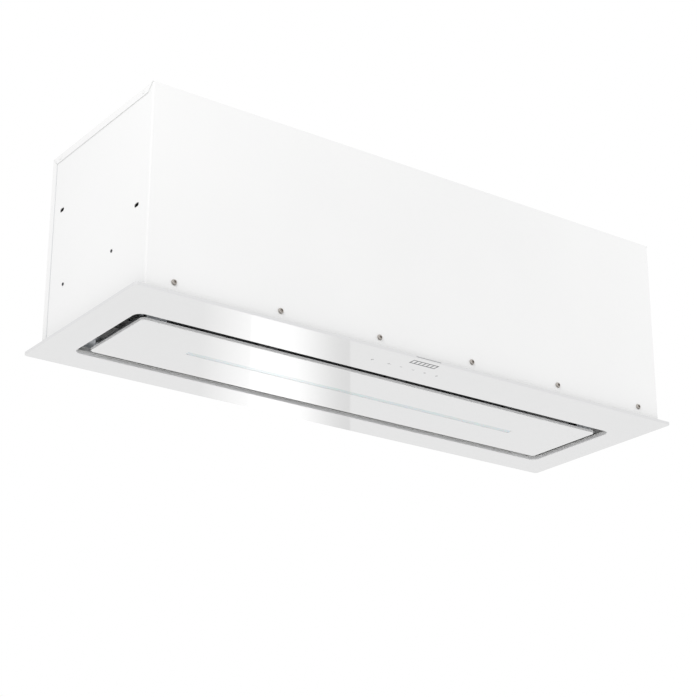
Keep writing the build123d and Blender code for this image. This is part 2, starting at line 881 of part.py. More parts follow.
def blade():
    """One forward-curved blade as a slice of a ring, in the XY plane."""
    inner = wheel_radius - blade_depth
    lean = radians(blade_sweep)
    root = (inner, 0)
    tip = (wheel_radius * cos(lean), wheel_radius * sin(lean))
    middle = ((root[0] + tip[0]) / 2 + blade_bow_out, (root[1] + tip[1]) / 2 - blade_bow_back)
    curve = ThreePointArc(root, middle, tip)
    return trace(curve, line_width=blade_thick)


def impeller():
    """Double-inlet wheel: blades through a middle disc, a band at each end and a hub."""
    half = wheel_half_width
    disc = Cylinder(wheel_radius, wheel_disc)
    disc += Pos(0, 0, hub_length / 2 - hub_back) * Cylinder(hub_radius, hub_length)
    section = Sketch() + [Rot(0, 0, 360 * n / blade_count) * blade() for n in range(blade_count)]
    wheel = disc + extrude(section, half, both=True)
    for end in (-1, 1):
        band = Cylinder(wheel_radius + blade_thick, band_width)
        band -= Cylinder(wheel_radius - band_width, band_width)
        wheel += Pos(0, 0, end * (half - band_width / 2)) * band
    wheel -= Cylinder(shaft_radius + pin_play, 4 * hub_length)
    return Pos(0, scroll_centre_y, scroll_centre_z) * Rot(0, 90, 0) * wheel


motor_face = -hub_back - motor_hub_gap
motor_back = motor_face - motor_length
shaft_front = hub_length


def on_wheel_axis(x0, x1, radius):
    return rod_x(x0, x1, scroll_centre_y, scroll_centre_z, radius)


def motor_can():
    can = on_wheel_axis(motor_back, motor_face, motor_radius)
    can = chamfer(can.edges().filter_by(GeomType.CIRCLE), motor_corner)
    can -= on_wheel_axis(motor_back, motor_face, shaft_radius + shaft_clearance)
    can -= on_wheel_axis(motor_back, motor_back + bearing_width, bearing_radius)
    return can - on_wheel_axis(motor_face - bearing_width, motor_face, bearing_radius)


def motor_bearings():
    rings = []
    for x0 in (motor_back, motor_face - bearing_width):
        ring_solid = on_wheel_axis(x0, x0 + bearing_width, bearing_radius)
        rings.append(ring_solid - on_wheel_axis(x0, x0 + bearing_width, shaft_radius + shaft_play))
    return rings


def motor_shaft():
    shaft = on_wheel_axis(motor_back + shaft_end_gap, shaft_front, shaft_radius)
    return chamfer(shaft.edges().filter_by(GeomType.CIRCLE), arris)


def motor_bracket():
    """Spider behind the motor, with three feet on the left cheek of the scroll."""
    x1 = motor_back
    x0 = x1 - bracket_sheet
    foot = -scroll_half_width - scroll_sheet
    spider = Cylinder(bracket_hub_radius, bracket_sheet)
    for n in range(bracket_arm_count):
        turn = Rot(0, 0, 360 * n / bracket_arm_count)
        arm = Pos(bracket_arm_reach / 2, 0, 0) * Box(bracket_arm_reach, bracket_arm_width, bracket_sheet)
        spider += turn * arm
        rise = foot - x1
        leg = Box(bracket_sheet, bracket_arm_width, rise)
        leg = Pos(bracket_arm_reach - bracket_sheet / 2, 0, bracket_sheet / 2 + rise / 2) * leg
        spider += turn * leg
    spider -= Cylinder(bearing_radius, 2 * bracket_sheet)
    for n in range(bracket_arm_count):
        hole = Pos(motor_screw_circle, 0, 0) * Cylinder(m4_radius + hole_play, 2 * bracket_sheet)
        spider -= Rot(0, 0, 360 * (n + 0.5) / bracket_arm_count) * hole
    return Pos((x0 + x1) / 2, scroll_centre_y, scroll_centre_z) * Rot(0, 90, 0) * spider


def motor_screws():
    screws = []
    for n in range(bracket_arm_count):
        angle = radians(360 * (n + 0.5) / bracket_arm_count)
        screw = Rot(0, -90, 0) * pan_screw(m4_radius, m4_head_radius, m4_head_height, bracket_sheet)
        y = scroll_centre_y + motor_screw_circle * sin(angle)
        z = scroll_centre_z - motor_screw_circle * cos(angle)
        screws.append(Pos(motor_back - bracket_sheet, y, z) * screw)
    return screws


# ---- Duct collar and backdraft flaps ----
def duct_collar():
    half = collar_plate_width / 2
    top = housing_top_z + collar_plate_thick
    collar = plate(-half, half, duct_y - half, duct_y + half, housing_top_z, top, collar_plate_corner)
    collar += rod_z(0, duct_y, housing_top_z, duct_top, duct_outer_radius)
    collar = chamfer(collar.faces().sort_by(Axis.Z)[-1].edges(), duct_wall / 2)
    collar -= rod_z(0, duct_y, housing_top_z, duct_top, duct_inner_radius)
    stop_top = flap_pin_z - flap_thick / 2 - seat_gap
    stop = rod_z(0, duct_y, stop_top - flap_stop_thick, stop_top, duct_inner_radius)
    stop -= rod_z(0, duct_y, stop_top - flap_stop_thick, stop_top, duct_inner_radius - flap_stop_width)
    collar += stop
    for side in (-1, 1):
        boss_in = side * (duct_inner_radius - flap_boss_length)
        boss_out = side * (duct_inner_radius + duct_wall / 2)
        collar += rod_x(*sorted((boss_in, boss_out)), duct_y, flap_pin_z, flap_boss_radius)
    collar -= rod_x(-duct_inner_radius, duct_inner_radius, duct_y, flap_pin_z, flap_pin_radius + pin_play)
    for x, y in collar_screw_places:
        collar -= rod_z(x, y, housing_top_z, top, m5_radius + hole_play)
    return collar


def collar_screws():
    shank = collar_plate_thick + sheet + outlet_gasket_thick + outlet_flange_thick + screw_reach
    screw = pan_screw(m5_radius, m5_head_radius, m5_head_height, shank)
    top = housing_top_z + collar_plate_thick
    return [Pos(x, y, top) * screw for x, y in collar_screw_places]


def flap_pin():
    reach = duct_inner_radius - seat_gap
    return rod_x(-reach, reach, duct_y, flap_pin_z, flap_pin_radius)


def backdraft_flap(side):
    """Half disc on every second knuckle of the pin; side -1 is the near flap."""
    low = flap_pin_z - flap_thick / 2
    high = flap_pin_z + flap_thick / 2
    reach = duct_inner_radius - flap_edge_gap
    disc = rod_z(0, duct_y, low, high, reach)
    edge = flap_knuckle_radius + knuckle_gap
    keep = sorted((duct_y + side * edge, duct_y + side * 2 * reach))
    flap = disc & block(-reach, reach, *keep, low, high)
    span = duct_inner_radius - flap_boss_length - knuckle_gap
    boss_gap = flap_boss_radius + knuckle_gap
    for end in (-1, 1):
        notch = sorted((end * span, end * reach))
        flap -= block(*notch, duct_y - boss_gap, duct_y + boss_gap, low, high)
    width = 2 * span / knuckle_count
    first = 0 if side < 0 else 1
    for n in range(first, knuckle_count, 2):
        x0 = -span + n * width + knuckle_gap / 2
        x1 = x0 + width - knuckle_gap
        flap += rod_x(x0, x1, duct_y, flap_pin_z, flap_knuckle_radius)
        web = sorted((duct_y, duct_y + side * (edge + flap_thick)))
        flap += block(x0, x1, *web, low, high)
    return flap - rod_x(-span, span, duct_y, flap_pin_z, flap_pin_radius + pin_play)


# ---- Hanger rails, controls and mains inlet ----
def hanger_rail(side):
    """Channel under the roof that takes two hanging rods."""
    x0 = side * hanger_x - rail_width / 2
    x1 = x0 + rail_width
    near = inner_near + top_lip + rail_end_gap
    far = inner_far - rail_end_gap
    rail = block(x0, x1, near, far, roof_z - rail_height, roof_z)
    rail -= block(x0 + rail_sheet, x1 - rail_sheet, near, far, roof_z - rail_height, roof_z - rail_sheet)
    for x, y in hanger_places:
        if x * side > 0:
            rail -= rod_z(x, y, roof_z - rail_sheet, roof_z, hanger_hole_radius)
    return rail


box_near_x = collar_plate_width / 2 + box_duct_gap


def box_lines():
    """The control box fills the room between the collar's flange and the gland beside the rail."""
    near = housing_mid - box_depth / 2
    return box_near_x, hanger_x - rail_width / 2 - gland_room, near, near + box_depth


def control_box():
    x0, x1, near, far = box_lines()
    low = roof_z - box_height
    case = plate(x0, x1, near, far, low, roof_z, bend_radius)
    case -= block(x0 + box_wall, x1 - box_wall, near + box_wall, far - box_wall, low, roof_z - box_wall)
    post_top = roof_z - box_wall
    for x in (x0 + 2 * board_margin, x1 - 2 * board_margin):
        for y in (near + 2 * board_margin, far - 2 * board_margin):
            case += rod_z(x, y, post_top - board_post, post_top, m5_radius)
    return case


def control_board():
    x0, x1, near, far = box_lines()
    top = roof_z - box_wall - board_post
    low = top - board_thick
    gap = box_wall + board_margin
    board = block(x0 + gap, x1 - gap, near + gap, far - gap, low, top)
    relay_pitch = (x1 - x0 - 2 * gap) / relay_count
    for n in range(relay_count):
        mid = x0 + gap + relay_pitch * (n + 0.5)
        left = mid - relay_length / 2
        board += block(left, left + relay_length, near + 3 * gap, far - 3 * gap, low - relay_height, low)
    return board


def control_lid():
    x0, x1, near, far = box_lines()
    low = roof_z - box_height
    return plate(x0, x1, near, far, low - box_wall, low, bend_radius)


def led_driver():
    x0 = -box_near_x - driver_length
    near = housing_mid - driver_depth / 2
    low = roof_z - driver_height
    case = plate(x0, x0 + driver_length, near, near + driver_depth, low, roof_z, bend_radius)
    return chamfer(case.faces().sort_by(Axis.Z)[0].edges(), driver_corner)


def capacitor():
    """Motor capacitor, its clip against the roof beside the control box."""
    x0, x1, near, far = box_lines()
    mid = (x0 + x1) / 2
    half = capacitor_length / 2
    y = far + capacitor_radius + board_margin
    z = roof_z - capacitor_radius
    clip = block(mid - board_margin, mid + board_margin, y - board_margin, y + board_margin, z, roof_z)
    return rod_x(mid - half, mid + half, y, z, capacitor_radius) + clip


gland_head_radius = gland_radius + gland_flange


def gland_place():
    x0, x1, near, far = box_lines()
    return x1 + 2 * gland_head_radius, far - gland_head_radius


def cable_gland():
    """Mains inlet through the roof: threaded body with its nut inside and its dome outside."""
    x, y = gland_place()
    top = housing_top_z
    nut = roof_z - gland_nut_height
    foot = nut - gland_thread_tail
    body = rod_z(x, y, foot, top, gland_radius)
    collar = extrude(Pos(x, y, top) * RegularPolygon(gland_head_radius, 6), amount=gland_rise / 3)
    dome = rod_z(x, y, top + gland_rise / 3, top + gland_rise, gland_radius)
    dome = chamfer(dome.edges().sort_by(Axis.Z)[-1], gland_dome)
    body += collar + dome
    body += extrude(Pos(x, y, nut) * RegularPolygon(gland_head_radius, 6), amount=gland_nut_height)
    body -= rod_z(x, y, foot, top + gland_rise, gland_bore_radius)
    return body - rod_z(x, y, foot, top + gland_rise / 6, gland_bore_radius + gland_counterbore)


def key_line():
    return (open_near - rim_y) / 2


def key_board():
    y = key_line()
    half = key_window_length / 2 - key_board_end_gap
    wide = key_window_width / 2 - key_board_side_gap
    return block(-half, half, y - wide, y + wide, rim_glass, rim_glass + board_thick)


def key_cover():
    y = key_line()
    half = key_window_length / 2 + key_cover_lap
    wide = key_window_width / 2 + key_cover_lap
    cover = plate(-half, half, y - wide, y + wide, carrier_z, carrier_z + key_cover_height, bend_radius)
    half -= box_wall
    wide -= box_wall
    top = carrier_z + key_cover_height - box_wall
    return cover - block(-half, half, y - wide, y + wide, carrier_z, top)


# ---- Write each piece to its own file ----
os.makedirs("parts", exist_ok=True)
save("glass_rim", glass_rim())
save("rim_carrier", rim_carrier())
save("housing_shell", housing_shell())
save("housing_top", housing_top())
save("housing_back", housing_back())
save("cover_rivets", *cover_rivets())
save("rim_screws", *rim_screws(-1), *rim_screws(1))
save("shelf_screws", *shelf_screws())
save("recess_lining", recess_lining())
save("filter_shelf", filter_shelf())
save("filter_ledge", filter_ledge())
save("filter_magnets", *filter_magnets())
for number, place in enumerate(filter_places, start=1):
    save(f"filter_frame_{number}", filter_frame(place))
    save(f"filter_mesh_{number}", filter_mesh(place))
    save(f"filter_handle_{number}", filter_handle(place))
save("panel_glass", panel_glass())
save("panel_tray", panel_tray())
save("light_diffuser", light_diffuser())
save("light_channel", light_channel())
save("led_board", led_board())
for side_name, side in (("left", -1), ("right", 1)):
    save(f"hinge_bracket_{side_name}", hinge_bracket(side))
    save(f"hinge_leaf_{side_name}", hinge_leaf(side))
    save(f"catch_arm_{side_name}", catch_arm(side))
    save(f"scroll_cheek_{side_name}", scroll_cheek(side))
    save(f"hanger_rail_{side_name}", hanger_rail(side))
save("hinge_pins", hinge_pin(-1), hinge_pin(1))
save("catch_magnets", catch_magnet(-1), catch_magnet(1))
save("catch_keepers", catch_keeper(-1), catch_keeper(1))
save("scroll_wrap", scroll_wrap())
save("outlet_gasket", outlet_gasket())
save("impeller", impeller())
save("motor_shaft", motor_shaft())
save("motor_can", motor_can())
save("motor_bearings", *motor_bearings())
save("motor_bracket", motor_bracket())
save("motor_screws", *motor_screws())
save("duct_collar", duct_collar())
save("collar_screws", *collar_screws())
save("flap_pin", flap_pin())
save("flap_near", backdraft_flap(-1))
save("flap_far", backdraft_flap(1))
save("control_box", control_box())
save("control_board", control_board())
save("control_lid", control_lid())
save("led_driver", led_driver())
save("capacitor", capacitor())
save("cable_gland", cable_gland())
save("key_board", key_board())
save("key_cover", key_cover())
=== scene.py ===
import bmesh
import bpy
import math
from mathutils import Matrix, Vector


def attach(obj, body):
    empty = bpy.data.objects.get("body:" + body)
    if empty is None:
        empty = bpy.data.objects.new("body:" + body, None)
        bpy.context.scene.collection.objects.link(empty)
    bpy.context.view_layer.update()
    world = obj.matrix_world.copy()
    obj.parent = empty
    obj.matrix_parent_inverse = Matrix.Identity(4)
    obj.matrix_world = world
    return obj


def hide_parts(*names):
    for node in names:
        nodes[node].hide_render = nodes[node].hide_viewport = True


# A ceiling range hood seen from below. The solids keep their shapes and get their finishes here. The screws
# and rivets are replaced by dressed ones, and what is too small or too thin for a solid is added.

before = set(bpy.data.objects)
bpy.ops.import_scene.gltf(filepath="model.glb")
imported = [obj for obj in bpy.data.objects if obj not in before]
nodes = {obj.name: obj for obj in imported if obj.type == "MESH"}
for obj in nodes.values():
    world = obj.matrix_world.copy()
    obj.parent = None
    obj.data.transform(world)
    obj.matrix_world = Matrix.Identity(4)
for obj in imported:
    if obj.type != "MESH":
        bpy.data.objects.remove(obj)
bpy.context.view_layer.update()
MM = 0.001

# ---- Sizes taken over from the solids, in millimetres ----
RIM_SCREW_PITCH = 157.0
RIM_SCREW_X = [(n - 2.5) * RIM_SCREW_PITCH for n in range(6)]
RIM_SCREW_Z = 19.0
WALL_NEAR, WALL_FAR, WALL_X = -141.0, 130.0, 433.0
SHEET = 1.0
HOUSING_TOP = 286.0
FOLD_WIDTH = 11.4
END_SCREW_Y = (-51.25, 79.75)
END_SCREW_Z = 83.0
RIVET_Y = (-118.0, 109.0)
COLLAR_Y, COLLAR_SCREW_REACH = 7.5, 80.0
COLLAR_PLATE_TOP = 289.0
SCROLL_Y, SCROLL_Z = -47.858, 186.0
MOTOR_SCREW_X, MOTOR_SCREW_CIRCLE = -65.5, 22.0
FILTER_ROW, FILTER_GAP = 680.0, 4.0           # all three bays, and the room between two filters
FILTER_PITCH = FILTER_ROW / 3
FILTER_X = [(n - 1) * FILTER_PITCH for n in range(3)]
FILTER_LENGTH = FILTER_PITCH - FILTER_GAP
FILTER_NEAR, FILTER_FAR = -70.0, 103.0
FILTER_LOW = 65.3
PLEATS = 12
LIGHT_Y = 14.5
LED_BOARD_LOW = 13.9
OPEN_X, OPEN_NEAR, OPEN_FAR, OPEN_CORNER = 402.5, -71.0, 100.0, 12.0
RIM_GLASS = 4.0
GLASS_NEAR = -149.0
OUTER_EDGE_X, OUTER_EDGE_Y = 445.0, 145.0     # only the rim's outer cut edges lie beyond these

# ---- Sizes of the pieces made here, in millimetres ----
STRANDS, STRAND_STEPS = 68, 73                # rows of strands in a filter, and points along each row
STRAND_RADIUS = 0.33
STRAND_FOLD_HEIGHT = 3.35
STRAND_RISE = 0.75                            # above the filter's underside
STRAND_END_INSET = 1.5
STRAND_NEAR_INSET, STRAND_FAR_INSET = 1.0, 2.0
BEAD_OUT = 1.9                                # from the edge of the glass opening to the middle of the bead
BEAD_RADIUS = 1.7
SEAM_Y = WALL_FAR - FOLD_WIDTH
SEAM_RADIUS = 0.55
SEAM_FOOT_GAP, SEAM_TOP_GAP = 1.5, 0.5
LED_COUNT, LED_PITCH = 60, 9.0
LED_LENGTH, LED_WIDTH, LED_HEIGHT = 2.8, 3.5, 0.6
LED_LENS_RADIUS = 1.2
INK_PROUD = 0.004
KEY_X = (-67.8, -39.8, -19.4, 0.3, 20.7, 41.0)
KEY_Y = -110.0
BAR_X, BAR_NEAR, BAR_FAR, BAR_LINE = 21.4, -141.4, -129.4, 2.0
# Where the painted reflection of the level bar lies on the near cut edge, along X and up Z
REFLECTED_BAR_X, REFLECTED_BAR_Z = (-23.5, 18.5), (1.6, 2.3)

# ---- Studio, in metres and degrees ----
CAMERA_PLACE = (-1.4113, -1.9114, -0.8514)
CAMERA_AZIMUTH, CAMERA_ELEVATION = -35.911, -21.099
CAMERA_LENS, CAMERA_SENSOR = 93.35, 36.0      # millimetres
FLOOR_RADIUS, FLOOR_SIDES, FLOOR_Z = 16, 64, -2.95
SOFTBOX_LEFT, SOFTBOX_RIGHT = 1.41, 1.79      # along X
SOFTBOX_LOW, SOFTBOX_HIGH = -2.6, 0.0
SOFTBOX_Y = 2.5
SOFTBOX_EASES_FROM = 1.52                     # to the left of this it is evenly bright
SOFTBOX_BRIGHT, SOFTBOX_DIM = 2.4, 0.45
SPILL_LEFT, SPILL_BRIGHT = 1.23, 2.0
ROOM_GLOW = 0.87                              # what the glass reflects past the softbox


# ---- Small tools for the making ----
def linear(colour):
    """sRGB hex to the linear colour that the shaders take."""
    parts = [int(colour[n:n + 2], 16) / 255 for n in (1, 3, 5)]
    return tuple(p / 12.92 if p <= 0.04045 else ((p + 0.055) / 1.055) ** 2.4 for p in parts) + (1.0,)


def add(tree, kind, sockets=None, **settings):
    """Adds a node. Its sockets are given by name or number.

    Each takes a value, an output, or a node, which stands for its own first output.
    """
    node = tree.nodes.new(kind)
    for name, value in settings.items():
        setattr(node, name, value)
    for key, value in (sockets or {}).items():
        if isinstance(value, bpy.types.Node):
            value = value.outputs[0]
        if isinstance(value, bpy.types.NodeSocket):
            tree.links.new(value, node.inputs[key])
        else:
            node.inputs[key].default_value = value
    return node


def link(name, mesh):
    """A new object in the scene."""
    piece = bpy.data.objects.new(name, mesh)
    bpy.context.scene.collection.objects.link(piece)
    return piece


def mesh_of(name, verts, faces):
    """A mesh from millimetres."""
    mesh = bpy.data.meshes.new(name)
    mesh.from_pydata([tuple(c * MM for c in v) for v in verts], [], faces)
    mesh.validate()
    return mesh


def outward(mesh):
    """Turns the faces of a closed mesh outwards."""
    work = bmesh.new()
    work.from_mesh(mesh)
    bmesh.ops.recalc_face_normals(work, faces=work.faces)
    work.to_mesh(mesh)
    work.free()
    return mesh


# ---- Materials: what their trees share ----
def start(name):
    """An empty material, its tree, and the place on the object that its patterns follow."""
    material = bpy.data.materials.new(name)
    material.use_nodes = True
    tree = material.node_tree
    tree.nodes.clear()
    return material, tree, add(tree, "ShaderNodeTexCoord").outputs["Object"]


def shade(tree, sockets):
    """Ends a tree in a Principled shader and the output."""
    shader = add(tree, "ShaderNodeBsdfPrincipled", sockets)
    add(tree, "ShaderNodeOutputMaterial", {"Surface": shader})


def grained(name, colours, grain, tint=None, gloss=None, dents=None, even=None):
    """A finish whose grain varies its colour, its roughness and, as dents, its height.

    grain is (millimetres across, detail) and may have a third value, its scale along X, Y and Z, where it is
    drawn out. tint is a second pattern of that kind, and then carries the colour. gloss is the least and the
    most roughness, dents are (depth in millimetres, strength), and even holds what is the same all over.
    """
    material, tree, place = start(name)
    patterns = []
    for size, detail, *drawn_out in filter(None, (grain, tint)):
        spot = place
        if drawn_out:
            spot = add(tree, "ShaderNodeMapping", {"Vector": place, "Scale": drawn_out[0]})
        noise = {"Vector": spot, "Scale": 1000.0 / size, "Detail": detail}
        patterns.append(add(tree, "ShaderNodeTexNoise", noise))
    fine, wide = patterns[0], patterns[-1]
    shades = {0: wide, 6: linear(colours[0]), 7: linear(colours[1])}
    sockets = {"Base Color": add(tree, "ShaderNodeMix", shades, data_type="RGBA").outputs[2], **(even or {})}
    if gloss:
        rough = {"Value": fine, "To Min": gloss[0], "To Max": gloss[1]}
        sockets["Roughness"] = add(tree, "ShaderNodeMapRange", rough)
    if dents:
        relief = {"Height": fine, "Distance": dents[0] * MM, "Strength": dents[1]}
        sockets["Normal"] = add(tree, "ShaderNodeBump", relief)
    shade(tree, sockets)
    return material


# ---- Materials ----
def powder_coat_white():
    """Polyester powder coat, sprayed and baked: an even white with a soft gloss and a fine orange peel."""
    return grained(
        "powder_coat_white", ("#E7E7E6", "#EBEBEA"), grain=(1.6, 3.0), tint=(160.0, 2.0),
        gloss=(0.34, 0.46), dents=(0.05, 0.5), even={"IOR": 1.5},
    )


def back_painted_glass():
    """Toughened low-iron glass, enamelled white, with a grey coat over the enamel on its back.

    The face is mirror-smooth, the cut edges are ground; the edges inside the opening are painted lighter, as
    painted light, and the rim's outer ones darker, as painted shade.
    """
    material, tree, place = start("back_painted_glass")
    # A face's tilt is 1 on the flat sides of the glass and 0 on its cut edges, and the back faces up
    facing = add(tree, "ShaderNodeTexCoord").outputs["Normal"]
    upward = add(tree, "ShaderNodeSeparateXYZ", {"Vector": facing}).outputs["Z"]
    tilt = add(tree, "ShaderNodeMath", {0: upward}, operation="ABSOLUTE")
    edge = add(tree, "ShaderNodeMapRange", {"Value": tilt, "From Min": 0.9, "From Max": 0.4})
    backed = add(tree, "ShaderNodeMath", {0: upward, 1: 0.9}, operation="GREATER_THAN")
    matt = add(tree, "ShaderNodeMath", {0: edge, 1: backed}, operation="MAXIMUM")
    spot = add(tree, "ShaderNodeSeparateXYZ", {"Vector": place}).outputs
    # Which cut edges are the rim's outer ones
    past = []
    for axis, limit in (("X", OUTER_EDGE_X), ("Y", OUTER_EDGE_Y)):
        reach = add(tree, "ShaderNodeMath", {0: spot[axis]}, operation="ABSOLUTE")
        past.append(add(tree, "ShaderNodeMath", {0: reach, 1: limit * MM}, operation="GREATER_THAN"))
    outer = add(tree, "ShaderNodeMath", {0: past[0], 1: past[1]}, operation="MAXIMUM")
    cloud = add(tree, "ShaderNodeTexNoise", {"Vector": place, "Scale": 1000.0 / 220.0, "Detail": 2.0})
    enamel = {0: cloud, 6: linear("#EEEEED"), 7: linear("#F1F1F0")}
    face = add(tree, "ShaderNodeMix", enamel, data_type="RGBA").outputs[2]
    # Painted light and shade on the ground edges: lighter inside the opening, darker on the rim's outside
    edge_painted_light_and_shade = {0: outer, 6: linear("#F4F4F4"), 7: linear("#D5D5D5")}
    cut = add(tree, "ShaderNodeMix", edge_painted_light_and_shade, data_type="RGBA").outputs[2]
    seen = add(tree, "ShaderNodeMix", {0: edge, 6: face, 7: cut}, data_type="RGBA").outputs[2]
    grey_back = {0: backed, 6: seen, 7: linear("#626466")}
    coat = add(tree, "ShaderNodeMix", grey_back, data_type="RGBA").outputs[2]
    scaled = add(tree, "ShaderNodeMath", {0: matt, 1: 0.32}, operation="MULTIPLY")
    rough = add(tree, "ShaderNodeMath", {0: scaled, 1: 0.02}, operation="ADD")
    grit = add(tree, "ShaderNodeTexNoise", {"Vector": place, "Scale": 1000.0 / 0.35, "Detail": 1.0})
    height = add(tree, "ShaderNodeMath", {0: grit, 1: matt}, operation="MULTIPLY")
    relief = add(tree, "ShaderNodeBump", {"Height": height, "Distance": 0.02 * MM, "Strength": 0.4})
    shade(tree, {"Base Color": coat, "Roughness": rough, "IOR": 1.52, "Normal": relief})
    return material


def opal_acrylic():
    """Extruded opal acrylic: a milky strip, a little greyer than the glass round it with the light off."""
    return grained(
        "opal_acrylic", ("#D7E0E0", "#DDE5E5"), grain=(0.8, 2.0, (0.02, 1.0, 1.0)), tint=(30.0, 2.0),
        gloss=(0.02, 0.04), dents=(0.01, 0.5),
        even={"IOR": 1.49, "Subsurface Weight": 0.15, "Subsurface Scale": 0.002},
    )


def powder_coat_grey():
    """Grey textured powder coat on the filters' seat: flat, with a sand-like grain."""
    return grained(
        "powder_coat_grey", ("#8A8B8B", "#A0A1A1"), grain=(0.9, 3.0),
        gloss=(0.5, 0.68), dents=(0.08, 0.6), even={"IOR": 1.5},
    )


def galvanised_steel():
    """Hot-dip galvanised sheet: crystals of zinc about 9 mm across that differ in tone and gloss."""
    material, tree, place = start("galvanised_steel")
    spangle = add(tree, "ShaderNodeTexVoronoi", {"Vector": place, "Scale": 1000.0 / 9.0, "Randomness": 1.0})
    cell = add(tree, "ShaderNodeSeparateColor", {"Color": spangle.outputs["Color"]})
    fine = add(tree, "ShaderNodeTexNoise", {"Vector": place, "Scale": 1000.0 / 0.6, "Detail": 3.0})
    both = add(tree, "ShaderNodeMath", {0: cell, 1: fine}, operation="MULTIPLY")
    zinc = {0: cell, 6: linear("#A9ADB1"), 7: linear("#C9CCCF")}
    shade(
        tree,
        {
            "Base Color": add(tree, "ShaderNodeMix", zinc, data_type="RGBA").outputs[2],
            "Metallic": 1.0,
            "Roughness": add(tree, "ShaderNodeMapRange", {"Value": both, "To Min": 0.28, "To Max": 0.52}),
            "Normal": add(tree, "ShaderNodeBump", {"Height": fine, "Distance": 0.02 * MM, "Strength": 0.4}),
        },
    )
    return material


def zinc_plated_steel():
    """Zinc plate on stamped steel: bluish silver, dull, with fine drawing marks along the sheet."""
    return grained(
        "zinc_plated_steel", ("#D0D3D7", "#E2E5E7"), grain=(0.5, 3.0, (0.06, 1.0, 1.0)), tint=(14.0, 2.0),
        gloss=(0.50, 0.66), dents=(0.015, 0.5), even={"Metallic": 1.0},
    )


def stainless_fastener():
    """Cold-headed stainless steel: warm grey, half polished by tumbling, with tiny dents."""
    return grained(
        "stainless_fastener", ("#A8A29C", "#C8C3BD"), grain=(0.45, 2.0),
        gloss=(0.20, 0.36), dents=(0.02, 0.5), even={"Metallic": 1.0},
    )


def grey_primed_steel():
    """Steel under a grey cathodic dip coat: dull and even, thin enough to show the sheet's fine grain."""
    return grained(
        "grey_primed_steel", ("#666869", "#747678"), grain=(0.8, 3.0, (0.4, 1.0, 1.0)),
        gloss=(0.45, 0.60), dents=(0.02, 0.5), even={"IOR": 1.55},
    )


def silicone_bead():
    """White neutral silicone, tooled with a wet finger: soft satin with faint ripples along the bead."""
    return grained(
        "silicone_bead", ("#EFEFEC", "#F5F5F3"), grain=(5.0, 2.0),
        gloss=(0.30, 0.42), dents=(0.15, 0.6), even={"IOR": 1.41},
    )


def seam_sealer_painted_shade():
    """Polyurethane sealer wiped into the seam of two sheets: matt, with the drag marks of the finger, and
    grey as painted shade of the seam.
    """
    return grained(
        "seam_sealer_painted_shade", ("#C9CBCC", "#D3D5D6"), grain=(1.2, 2.0, (1.0, 1.0, 0.1)),
        gloss=(0.50, 0.62), dents=(0.04, 0.5), even={"IOR": 1.48},
    )


def black_oxide_steel():
    """Blackened steel of small screws: a thin oiled black skin, half dull, worn paler on its grain."""
    return grained(
        "black_oxide_steel", ("#26272A", "#4A4B4E"), grain=(0.5, 3.0),
        gloss=(0.30, 0.48), dents=(0.02, 0.5), even={"Metallic": 0.6},
    )


def ground_shaft_steel():
    """Carbon steel ground on centres: fine rings round the shaft."""
    return grained(
        "ground_shaft_steel", ("#B9BABC", "#D2D3D5"), grain=(0.4, 2.0, (1.0, 0.02, 0.02)),
        gloss=(0.14, 0.28), dents=(0.008, 0.4), even={"Metallic": 1.0},
    )


def sintered_ferrite():
    """Sintered ferrite magnet: charcoal grey, dull, with pores."""
    return grained(
        "sintered_ferrite", ("#2C2D2F", "#45464A"), grain=(0.5, 4.0),
        gloss=(0.55, 0.75), dents=(0.05, 0.7), even={"IOR": 1.9},
    )


def rolled_aluminium():
    """Mill-finish aluminium strip: silver with rolling lines along its length."""
    return grained(
        "rolled_aluminium", ("#B9BBBD", "#D0D2D3"), grain=(0.5, 3.0, (0.03, 1.0, 1.0)),
        gloss=(0.26, 0.42), dents=(0.012, 0.5), even={"Metallic": 1.0},
    )


def stacked_mesh():
    """Deeper layers of expanded aluminium in the filter: small strands over openings, with the openings
    near-black and the strands dark grey as painted shade of the layers below.
    """
    material, tree, place = start("stacked_mesh")
    openings = {"Vector": place, "Scale": 1000.0 / 2.6, "Randomness": 0.6}
    layers = add(tree, "ShaderNodeTexVoronoi", openings, feature="DISTANCE_TO_EDGE")
    strand = add(
        tree,
        "ShaderNodeMapRange",
        {
            "Value": layers.outputs["Distance"], "From Min": 0.05, "From Max": 0.16,
            "To Min": 1.0, "To Max": 0.0,
        },
    )
    # Painted shade: near-black openings and dark grey strands stand for the deeper layers lying in shade
    strands_over_painted_shade = {0: strand, 6: linear("#151617"), 7: linear("#5C5E60")}
    shade(
        tree,
        {
            "Base Color": add(tree, "ShaderNodeMix", strands_over_painted_shade, data_type="RGBA").outputs[2],
            "Metallic": strand,
            "Roughness": add(tree, "ShaderNodeMapRange", {"Value": strand, "To Min": 0.7, "To Max": 0.35}),
            "Normal": add(tree, "ShaderNodeBump", {"Height": strand, "Distance": 0.3 * MM, "Strength": 0.8}),
        },
    )
    return material


def expanded_aluminium():
    """Expanded aluminium strands: slit and stretched, with a satin edge, and painted darker than the frames'
    aluminium as painted shade in the filter bay.
    """
    # Painted shade: the strands' silver is darker than the frames' rolled aluminium
    return grained(
        "expanded_aluminium", ("#7C7E81", "#96989A"), grain=(0.3, 2.0),
        gloss=(0.24, 0.40), even={"Metallic": 1.0},
    )


